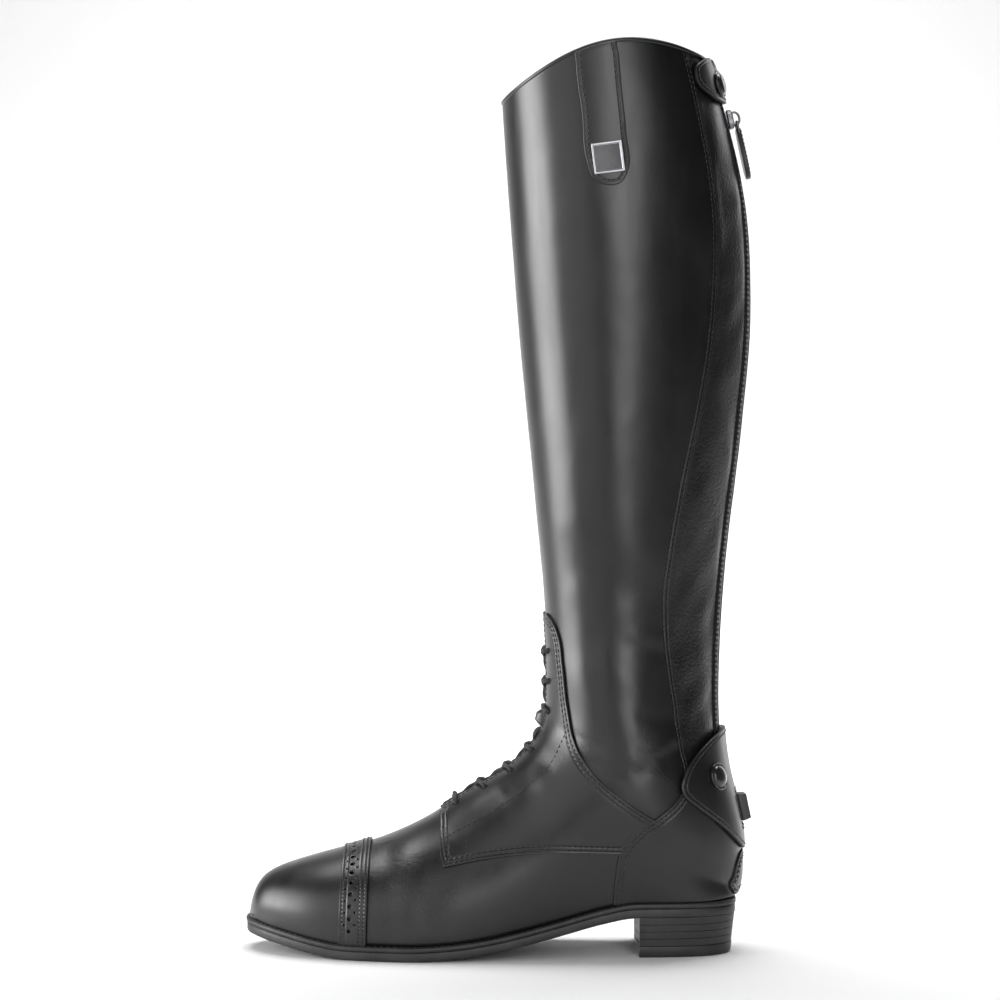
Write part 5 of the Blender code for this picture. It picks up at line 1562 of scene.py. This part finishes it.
class BOOT_OT_lace(bpy.types.Operator):
    """Round lace criss-crossed through the punched eyelets"""

    bl_idname = "boot.lace"
    bl_label = "Lace"

    def execute(self, context):
        radius = context.scene.boot_sizes.lace_width / MM / 2
        strands = []
        for run in (LOWER_EYELETS, UPPER_EYELETS):
            strands.append(self.strand(context, run[0], run[0], 1, radius, 0.0))
            for i, (start, end) in enumerate(zip(run, run[1:])):
                over = 1 if i % 2 else -1
                strands.append(self.strand(context, start, end, over, radius, 1.5 * radius))
                strands.append(self.strand(context, start, end, -over, radius, 0.0))
        strands.extend(self.tuck(sign, radius) for sign in (1, -1))
        pieces = [tube(f"lace_{i}", path, radius, 12, spacing=0.9) for i, path in enumerate(strands)]
        finish_piece(context, join("lace_cord", pieces), "lace_braid", ("lace",))
        return {"FINISHED"}

    @staticmethod
    def on_boot(stops, sign):
        """Smooth path through stops given as place, arc from the front line and height."""
        surface = skin()
        path = []
        for place, arc, lift in stops:
            row = surface.row(place)
            column = surface.from_front(row, "medial" if arc * sign > 0 else "lateral", abs(arc))
            path.append(surface.at(row, column, lift)[0])
        return smooth_line(path, 0.8)

    def strand(self, context, start, end, sign, radius, over):
        """Path from behind one facing, across the throat, over the other facing and into its eyelet."""
        top = OVERLAY_TOP + radius
        under = (
            (EYELET_ARC - 3.0, -1.5, 0.0), (THROAT_HALF + 1.5, -1.3, 0.04), (THROAT_HALF - 1.6, -0.8, 0.12),
        )
        down = (
            (THROAT_HALF - 1.7, top - 1.2, 0.80), (THROAT_HALF - 0.1, top - 0.15, 0.87),
            (THROAT_HALF + 2.5, top - 0.1, 0.92), (EYELET_ARC - 3.2, top - 0.1, 0.97),
            (EYELET_ARC - 1.2, top, 0.99), (EYELET_ARC, 0.2, 1.0), (EYELET_ARC, -2.6, 1.0),
        )
        if start == end:
            under = [(arc, lift, 0.0) for arc, lift, _ in down[::-1]]
        stops = [(start + (end - start) * share, arc, lift) for arc, lift, share in under]
        middle = (start + end) / 2
        lift = float(tongue_height(context, np.array(middle), np.array(0.0))) + radius + over
        stops.append((middle, 0.0, max(lift, -0.8)))
        stops.extend((start + (end - start) * share, -arc, lift) for arc, lift, share in down)
        return self.on_boot(stops, sign)

    def tuck(self, sign, radius):
        """Path that comes out from behind the low facing and goes in behind the high one at the ankle."""
        top = OVERLAY_TOP + radius
        return self.on_boot((
            (14.1, THROAT_HALF + 3.0, -1.4), (14.3, THROAT_HALF - 1.4, -0.4),
            (14.65, THROAT_HALF - 1.2, top - 0.7), (15.0, THROAT_HALF - 0.8, top - 0.6),
            (15.3, THROAT_HALF - 1.2, -0.1), (15.8, THROAT_HALF + 3.0, -1.4),
        ), sign)


class BOOT_OT_zip(bpy.types.Operator):
    """Zip tape, interlocked teeth and slider"""

    bl_idname = "boot.zip"
    bl_label = "Back Zip"

    def execute(self, context):
        surface = skin()
        rows = np.arange(*(surface.row(place) for place in TAPE_PLACES))
        arcs = np.linspace(-TAPE_HALF, TAPE_HALF, 13)
        columns = surface.both_ways(surface.from_back, rows, arcs)
        obj = strip_piece("zip_tape_woven", rows, columns, TAPE_LOW)
        set_uv(obj, rows[:, None] * ROW_SPACING * MM, arcs * MM)
        shape(obj, TAPE_WALL)
        finish_piece(context, obj, "zip_tape_weave", ("zip_tape",))
        self.teeth(context)
        self.slider(context)
        return {"FINISHED"}

    @staticmethod
    def teeth(context):
        """Two rows of small rounded teeth that lock together along the slot."""
        surface = skin()
        rows = np.arange(*(surface.row(place) for place in TEETH_PLACES), 0.25)
        centre, normals = surface.at(rows, np.zeros(len(rows)), -0.9)
        lengths = run_lengths(centre)
        middles = np.arange(1.0, lengths[-1] - 1.0, context.scene.boot_sizes.tooth_pitch / MM / 2)
        at = read_line(centre, lengths, middles)
        normal = unit(read_line(normals, lengths, middles))
        run = unit(read_line(centre, lengths, middles + 0.5) - read_line(centre, lengths, middles - 0.5))
        side = unit(np.cross(run, normal))
        lean = np.where(np.arange(len(middles)) % 2 == 0, 1.0, -1.0)[:, None]
        verts = np.array([
            at + lean * side * step + run * width * a * 0.8 + normal * height * b
            for step, width, height in TOOTH_SECTIONS for a, b in ((-1, -1), (1, -1), (1, 1), (-1, 1))
        ]).swapaxes(0, 1)
        tooth = grid_faces(4, 4, around=True).tolist() + [[0, 1, 2, 3], [15, 14, 13, 12]]
        faces = [[16 * i + v for v in face] for i in range(len(middles)) for face in tooth]
        obj = new_object("zip_teeth", verts, faces)
        weld(obj, 1e-9)
        shape(obj)
        finish_piece(context, obj, "zip_teeth", ("zip_chain",))

    @staticmethod
    def slider(context):
        """Slider body pinched at its waist, with the bail for the pull."""
        width, length, depth = SLIDER_SIZE

        def pinched(x, y, z):
            waist = 0.62 + 0.38 * min(1.0, abs(y + 0.15) / 0.45)
            return x * width * waist, y * length, (z + 0.5) * depth * (1 - 0.25 * (2 * y) ** 4)

        body = cube_piece(context, "slider_body", pinched, 3)
        shape(body, edge=0.6, angle=40.0)
        obj = join("slider_cast", [body, tube("bail", smooth_line(BAIL_ROUTE, 0.3), BAIL_RADIUS)])
        settle_piece(obj, pull_frame() @ Matrix.Translation([length * MM for length in SLIDER_AT]))
        finish_piece(context, obj, "gunmetal", ("zip_slider",))


def pull_frame():
    """Frame of the zip pull's hinge: local X across the boot, local Y up the zip, local Z away from it."""
    up = Vector(PULL_UP).normalized()
    across = Vector((0.0, 1.0, 0.0))
    axes = Matrix((across, up, across.cross(up))).transposed().to_4x4()
    return Matrix.Translation(Vector(PULL_AT) * MM) @ axes


class BOOT_OT_zip_pull(bpy.types.Operator):
    """Wire link and stitched leather tab that swing on the slider"""

    bl_idname = "boot.zip_pull"
    bl_label = "Zip Pull"

    def execute(self, context):
        right, low = LINK_HALF - LINK_TURN, LINK_TURN - LINK_LENGTH
        corners = []
        for i, (x, y) in enumerate(((right, -LINK_TURN), (-right, -LINK_TURN), (-right, low), (right, low))):
            for step in np.linspace(0, 0.5, 6):
                angle = math.pi * (0.5 * i + step)
                corners.append((x + LINK_TURN * math.cos(angle), y + LINK_TURN * math.sin(angle), 0.0))
        link = tube("pull_link_wire", [*corners, corners[0]], LINK_RADIUS, closed=True, spacing=0.5)
        settle_piece(link, pull_frame())
        finish_piece(context, link, "gunmetal", ("zip_pull_link",), body="zip_pull")
        edge = smooth_line(TAB_OUTLINE, 0.6)
        edge = np.vstack((edge, np.linspace(edge[-1], edge[0], 12)[1:-1]))
        flat, faces = fill_outline(edge)
        tab = new_object("pull_tab_leather", np.hstack((flat, np.zeros((len(flat), 1)))), faces)
        set_values(tab, "edge_distance", nearest(flat, edge))
        shape(tab, TAB_THICK, 0.0, 0.5)
        weld(tab, 1e-8)
        settle_piece(tab, pull_frame())
        finish_piece(context, tab, "panel_leather", ("zip_pull_tab",), body="zip_pull")
        rim = smooth_line(np.array(TAB_OUTLINE) * (0.74, 0.93) - (0.0, 0.9), 0.6)
        hinge, lift = pull_frame(), TAB_THICK / 2 * MM
        away = hinge.to_3x3() @ Vector((0, 0, 1))
        lines = []
        for line in (rim, smooth_line(((0.0, -9.5), (0.0, -27.0)), 0.6)):
            points = np.array([hinge @ Vector((x * MM, y * MM, lift)) for x, y in line]) / MM
            lines.append((points, np.tile(away, (len(points), 1))))
        sew(context, "zip_pull_stitches", lines, body="zip_pull", pitch_share=0.8)
        return {"FINISHED"}


@functools.lru_cache(maxsize=1)
def sole_loop():
    """Sole edge of the upper as an even ring in plan, its outward directions and its heights."""
    surface = skin()
    count = int(surface.row(FIRST_CLOSED_ROW))
    medial, lateral = surface.points[:count, 0], surface.points[:count, -1]
    loop = even_line(np.vstack((medial, lateral[::-1], medial[:1])), SOLE_SPACING)[:-1]
    loop = blurred(loop, 2.0, around=True)
    run = unit(np.roll(loop, -1, axis=0) - np.roll(loop, 1, axis=0))[:, :2]
    outward = unit(np.stack((-run[:, 1], run[:, 0]), axis=1))
    order = np.argsort(medial[:, 0])
    height = np.minimum(np.interp(loop[:, 0], medial[order, 0], medial[order, 2]), SOLE_EDGE_TOP)
    return loop[:, :2], outward, blurred(height, 2.0, around=True)


class BOOT_OT_sole(bpy.types.Operator):
    """Insole, stitched welt and outsole"""

    bl_idname = "boot.sole"
    bl_label = "Sole"

    def execute(self, context):
        self.plate(context, "welt_strip", WELT_PROFILE, "sole_rubber", "rubber", ("welt",))
        self.plate(context, "outsole_rubber", OUTSOLE_PROFILE, "sole_rubber", "rubber", ("outsole",))
        self.plate(context, "insole_board", INSOLE_PROFILE, "lining_leather", "lining", ("insole",))
        loop, outward, height = sole_loop()
        reach, drop = WELT_SEAM
        points = np.column_stack((loop + reach * outward, height + drop))
        points = np.roll(points, -int(np.argmin(points[:, 0] < WELT_SEWN_X)), axis=0)
        points = points[points[:, 0] < WELT_SEWN_X]
        up = np.tile((0.0, 0.0, 1.0), (len(points), 1))
        sew(context, "welt_stitches", [(points, up)], pitch_share=1.25)
        return {"FINISHED"}

    @staticmethod
    def plate(context, name, profile, look, slot, nodes):
        """Closed plate that follows the sole edge, with the given profile at its rim."""
        loop, outward, height = sole_loop()
        rings = [np.column_stack((loop + reach * outward, height + drop)) for reach, drop in profile]
        count = len(loop)
        faces = grid_faces(len(profile), count, around=True)[:, ::-1].tolist()
        last = (len(profile) - 1) * count
        for i in range(count // 2 - 1):
            a, b, c, d = i, i + 1, count - 2 - i, count - 1 - i
            faces.append([a, d, c, b])
            faces.append([last + v for v in (a, b, c, d)])
        obj = new_object(name, rings, faces)
        weld(obj, 1e-7)
        shape(obj)
        finish_piece(context, obj, look, nodes)


class BOOT_OT_heel(bpy.types.Operator):
    """Stacked heel with its rubber top piece"""

    bl_idname = "boot.heel"
    bl_label = "Heel"

    def execute(self, context):
        levels = [(HEEL_TOP, 0.0)]
        for joint in LIFT_JOINTS:
            levels.extend(((joint + JOINT_HALF, 0.0), (joint, -JOINT_DEPTH), (joint - JOINT_HALF, 0.0)))
        self.stack(context, "heel_stack", levels[:-1], ("heel_block",))
        self.stack(context, "heel_top_rubber", TOP_PIECE_LEVELS, ("heel_top_piece",))
        return {"FINISHED"}

    @staticmethod
    def stack(context, name, levels, nodes):
        """Heel-shaped block with rings at given heights, each moved out or in a little."""
        loop, outward, _ = sole_loop()
        edge = loop + HEEL_REACH * outward
        start = int(np.argmin(edge[:, 0] > HEEL_BREAST_X))
        edge, outward = np.roll(edge, -start, axis=0), np.roll(outward, -start, axis=0)
        keep = edge[:, 0] > HEEL_BREAST_X
        edge, outward = edge[keep], outward[keep]
        across = np.linspace(edge[-1, 1], edge[0, 1], 16)[1:-1]
        bow = BREAST_BOW * (1 - (across / abs(edge[0, 1])) ** 2)
        edge = np.vstack((edge, np.column_stack((HEEL_BREAST_X + bow, across))))
        outward = np.vstack((outward, np.tile((-1.0, 0.0), (len(across), 1))))
        rings = []
        for height, grow in levels:
            scale = HEEL_TAPER + (1 - HEEL_TAPER) * height / HEEL_TOP
            ring_points = np.array((HEEL_BREAST_X, 0.0)) + (edge - (HEEL_BREAST_X, 0.0)) * scale
            rings.append(np.column_stack((ring_points + grow * outward, np.full(len(edge), height))))
        count = len(edge)
        faces = grid_faces(len(levels), count, around=True).tolist()
        faces.append(list(range(count)))
        faces.append(list(range((len(levels) - 1) * count, len(levels) * count))[::-1])
        obj = new_object(name, np.array(rings), faces)
        weld(obj, 1e-8)
        shape(obj)
        finish_piece(context, obj, "sole_rubber", nodes)


def seat(view, place, lift, tilt=0.0):
    """Frame standing on the surface: local Z points away from it and local Y runs up the boot."""
    surface = skin()
    point, normal = (value[0] for value in surface.on(surface.seen(view, [place]), lift))
    normal = Vector(normal)
    up = (Vector((0, 0, 1)) - normal * normal.z).normalized()
    axes = Matrix((up.cross(normal), up, normal)).transposed().to_4x4()
    return Matrix.Translation(Vector(point) * MM) @ axes @ Matrix.Rotation(tilt, 4, "Z")


class BOOT_OT_fittings(bpy.types.Operator):
    """Snap caps, plain badge and spur rest"""

    bl_idname = "boot.fittings"
    bl_label = "Fittings"

    def execute(self, context):
        self.snap(context, "heel_flap_snap", HEEL_SNAP_SEAT, HEEL_FLAP_LOW)
        self.snap(context, "top_flap_snap", TOP_SNAP_SEAT, TOP_FLAP_LOW)
        self.badge(context)
        self.spur_rest(context)
        return {"FINISHED"}

    @staticmethod
    def snap(context, name, place, low):
        """Domed cap in a dished ring."""
        bpy.ops.mesh.primitive_cylinder_add(vertices=48, radius=SNAP_RADIUS * MM, depth=SNAP_DEPTH * MM)
        obj = context.object
        obj.name = f"{name}_cap"
        work_top(obj, SNAP_STEPS)
        shape(obj, edge=0.18, segments=2, angle=35.0)
        matrix = seat("lateral", place, low + FLAP_THICK - 0.3)
        settle_piece(obj, matrix @ Matrix.Translation((0.0, 0.0, SNAP_DEPTH / 2 * MM)))
        finish_piece(context, obj, "snap_enamel", (name,))

    @staticmethod
    def badge(context):
        """Square plate with a raised rim round a plain field."""
        obj = cube_piece(
            context, "badge_plate", lambda x, y, z: (x * BADGE_SIDE, y * BADGE_SIDE, (z + 0.5) * BADGE_DEPTH),
        )
        work_top(obj, BADGE_STEPS)
        shape(obj, edge=0.22, angle=30.0)
        settle_piece(obj, seat("lateral", BADGE_SEAT, 1.6, BADGE_TILT))
        finish_piece(context, obj, "badge_metal", ("badge",))
        obj.data.materials.append(material(context, "badge_field"))
        field = max(obj.data.polygons, key=lambda polygon: polygon.area if polygon.normal.y < -0.8 else 0.0)
        field.material_index = 1

    @staticmethod
    def spur_rest(context):
        """Rubber block with softened edges and a shallow ledge."""
        width, height, depth = SPUR_REST_SIZE

        def narrowed(x, y, z):
            share = 1.0 if z < 0 else 0.9
            return x * width * share, y * height * share, (z + 0.5) * depth

        obj = cube_piece(context, "spur_rest_block", narrowed)
        work_top(obj, SPUR_REST_STEPS)
        shape(obj, edge=0.5, angle=25.0)
        settle_piece(obj, seat("back", SPUR_REST_SEAT, HEEL_FLAP_LOW + FLAP_THICK - 0.2))
        finish_piece(context, obj, "spur_rubber", ("spur_rest",))
        box = np.array(((-1, -1), (1, -1), (1, 1), (-1, 1), (-1, -1)))
        lines = []
        for away in (1.6, 3.2):
            line = straight_sides(box * (width / 2 + away, height / 2 + away) + SPUR_REST_SEAT, 1.0)
            lines.append(skin().seen("back", np.vstack((line, line[:1]))))
        sew(context, "spur_rest_stitches", lines, HEEL_FLAP_LOW + FLAP_THICK, pitch_share=0.75)


class BOOT_OT_stage(bpy.types.Operator):
    """Pale floor and backdrop, soft lights and the camera"""

    bl_idname = "boot.stage"
    bl_label = "Studio"

    def execute(self, context):
        studio = context.scene.boot_studio
        self.backdrop(context)
        world = bpy.data.worlds.new("studio_world")
        context.scene.world = world
        world.use_nodes = True
        world.node_tree.nodes["Background"].inputs["Color"].default_value = (0.9, 0.92, 0.95, 1.0)
        world.node_tree.nodes["Background"].inputs["Strength"].default_value = 0.05
        target = Vector((-0.108, 0.0, 0.247))
        level = Vector((target.x, target.y, 0.55))
        behind = Vector((-0.1, 1.25, 0.0))
        self.light("side_light", (-1.15, -0.10, 0.55), level, (0.9, 1.1), studio.side_power, 80.0)
        self.light("fill_light", (-0.95, -1.35, 0.70), target, (1.3, 1.5), studio.fill_power)
        self.light("strip_light", (0.36, -1.70, 0.50), target, (0.5, 1.3), studio.strip_power)
        self.light("top_light", (-0.1, 0.70, 1.7), behind, (1.6, 1.3), studio.top_power, 125.0)
        self.light("back_light", (0.85, 0.95, 0.55), target, (0.5, 1.2), studio.back_power)
        context.scene.view_settings.view_transform = "Standard"
        lift = math.sin(studio.elevation) * studio.distance
        away = math.cos(studio.elevation) * studio.distance
        bpy.ops.object.camera_add(location=(target.x, target.y - away, target.z + lift))
        camera = context.object
        camera.name = "camera"
        camera.rotation_euler = (target - camera.location).to_track_quat("-Z", "Y").to_euler()
        camera.data.lens = studio.lens
        camera.data.sensor_width = 36.0
        context.scene.camera = camera
        return {"FINISHED"}

    @staticmethod
    def backdrop(context):
        """Floor that sweeps up into a backdrop behind the boot."""
        bpy.ops.mesh.primitive_plane_add(size=6.0, location=(0.0, -0.6, 0.0))
        obj = context.object
        obj.name = "backdrop"
        bpy.ops.object.transform_apply(location=True)
        with editing(obj):
            bpy.ops.mesh.select_mode(type="EDGE")
            bpy.ops.mesh.select_all(action="DESELECT")
            bm = bmesh.from_edit_mesh(obj.data)
            for edge in bm.edges:
                edge.select_set(all(vert.co.y > 1.0 for vert in edge.verts))
            bmesh.update_edit_mesh(obj.data)
            bpy.ops.mesh.extrude_region_move(TRANSFORM_OT_translate={"value": (0.0, 0.0, 3.0)})
        shape(obj, edge=900.0, segments=16, angle=30.0)
        obj.data.materials.append(material(context, "studio_paper"))

    @staticmethod
    def light(name, location, target, size, power, beam=180.0):
        """Soft rectangular light aimed at a point, with a beam of a given angle."""
        bpy.ops.object.light_add(type="AREA", location=location)
        lamp = bpy.context.object
        lamp.name = name
        lamp.data.shape = "RECTANGLE"
        lamp.data.size, lamp.data.size_y = size
        lamp.data.energy = power
        lamp.data.spread = math.radians(beam)
        lamp.rotation_euler = (target - lamp.location).to_track_quat("-Z", "Y").to_euler()


class BOOT_PT_finish(bpy.types.Panel):
    """Sidebar panel with the boot's settings and steps"""

    bl_idname = "BOOT_PT_finish"
    bl_label = "Riding Boot"
    bl_space_type = "VIEW_3D"
    bl_region_type = "UI"
    bl_category = "Boot"

    def draw(self, context):
        layout = self.layout
        for settings in (context.scene.boot_sizes, context.scene.boot_colours, context.scene.boot_studio):
            box = layout.box()
            for name in settings.__annotations__:
                box.prop(settings, name)
        for operator in OPERATORS:
            layout.operator(operator.bl_idname)


OPERATORS = (
    BOOT_OT_front_panel, BOOT_OT_rear_panels, BOOT_OT_lining, BOOT_OT_toe_cap, BOOT_OT_quarters,
    BOOT_OT_counter, BOOT_OT_flaps, BOOT_OT_strap, BOOT_OT_tongue, BOOT_OT_lace, BOOT_OT_zip,
    BOOT_OT_zip_pull, BOOT_OT_sole, BOOT_OT_heel, BOOT_OT_fittings, BOOT_OT_stage,
)
CLASSES = (BootSizes, BootColours, BootStudio, *OPERATORS, BOOT_PT_finish)


def register():
    """Register the classes and attach the settings to the scene."""
    for cls in CLASSES:
        bpy.utils.register_class(cls)
    bpy.types.Scene.boot_sizes = PointerProperty(type=BootSizes)
    bpy.types.Scene.boot_colours = PointerProperty(type=BootColours)
    bpy.types.Scene.boot_studio = PointerProperty(type=BootStudio)


def unregister():
    """Undo register."""
    del bpy.types.Scene.boot_studio
    del bpy.types.Scene.boot_colours
    del bpy.types.Scene.boot_sizes
    for cls in reversed(CLASSES):
        bpy.utils.unregister_class(cls)


def main():
    """Model the boot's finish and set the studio."""
    register()
    bpy.ops.object.select_all(action="DESELECT")
    bpy.ops.boot.front_panel()
    bpy.ops.boot.rear_panels()
    bpy.ops.boot.lining()
    bpy.ops.boot.toe_cap()
    bpy.ops.boot.quarters()
    bpy.ops.boot.counter()
    bpy.ops.boot.flaps()
    bpy.ops.boot.strap()
    bpy.ops.boot.tongue()
    bpy.ops.boot.lace()
    bpy.ops.boot.zip()
    bpy.ops.boot.zip_pull()
    bpy.ops.boot.sole()
    bpy.ops.boot.heel()
    bpy.ops.boot.fittings()
    bpy.ops.boot.stage()
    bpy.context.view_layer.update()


if __name__ == "__main__":
    main()
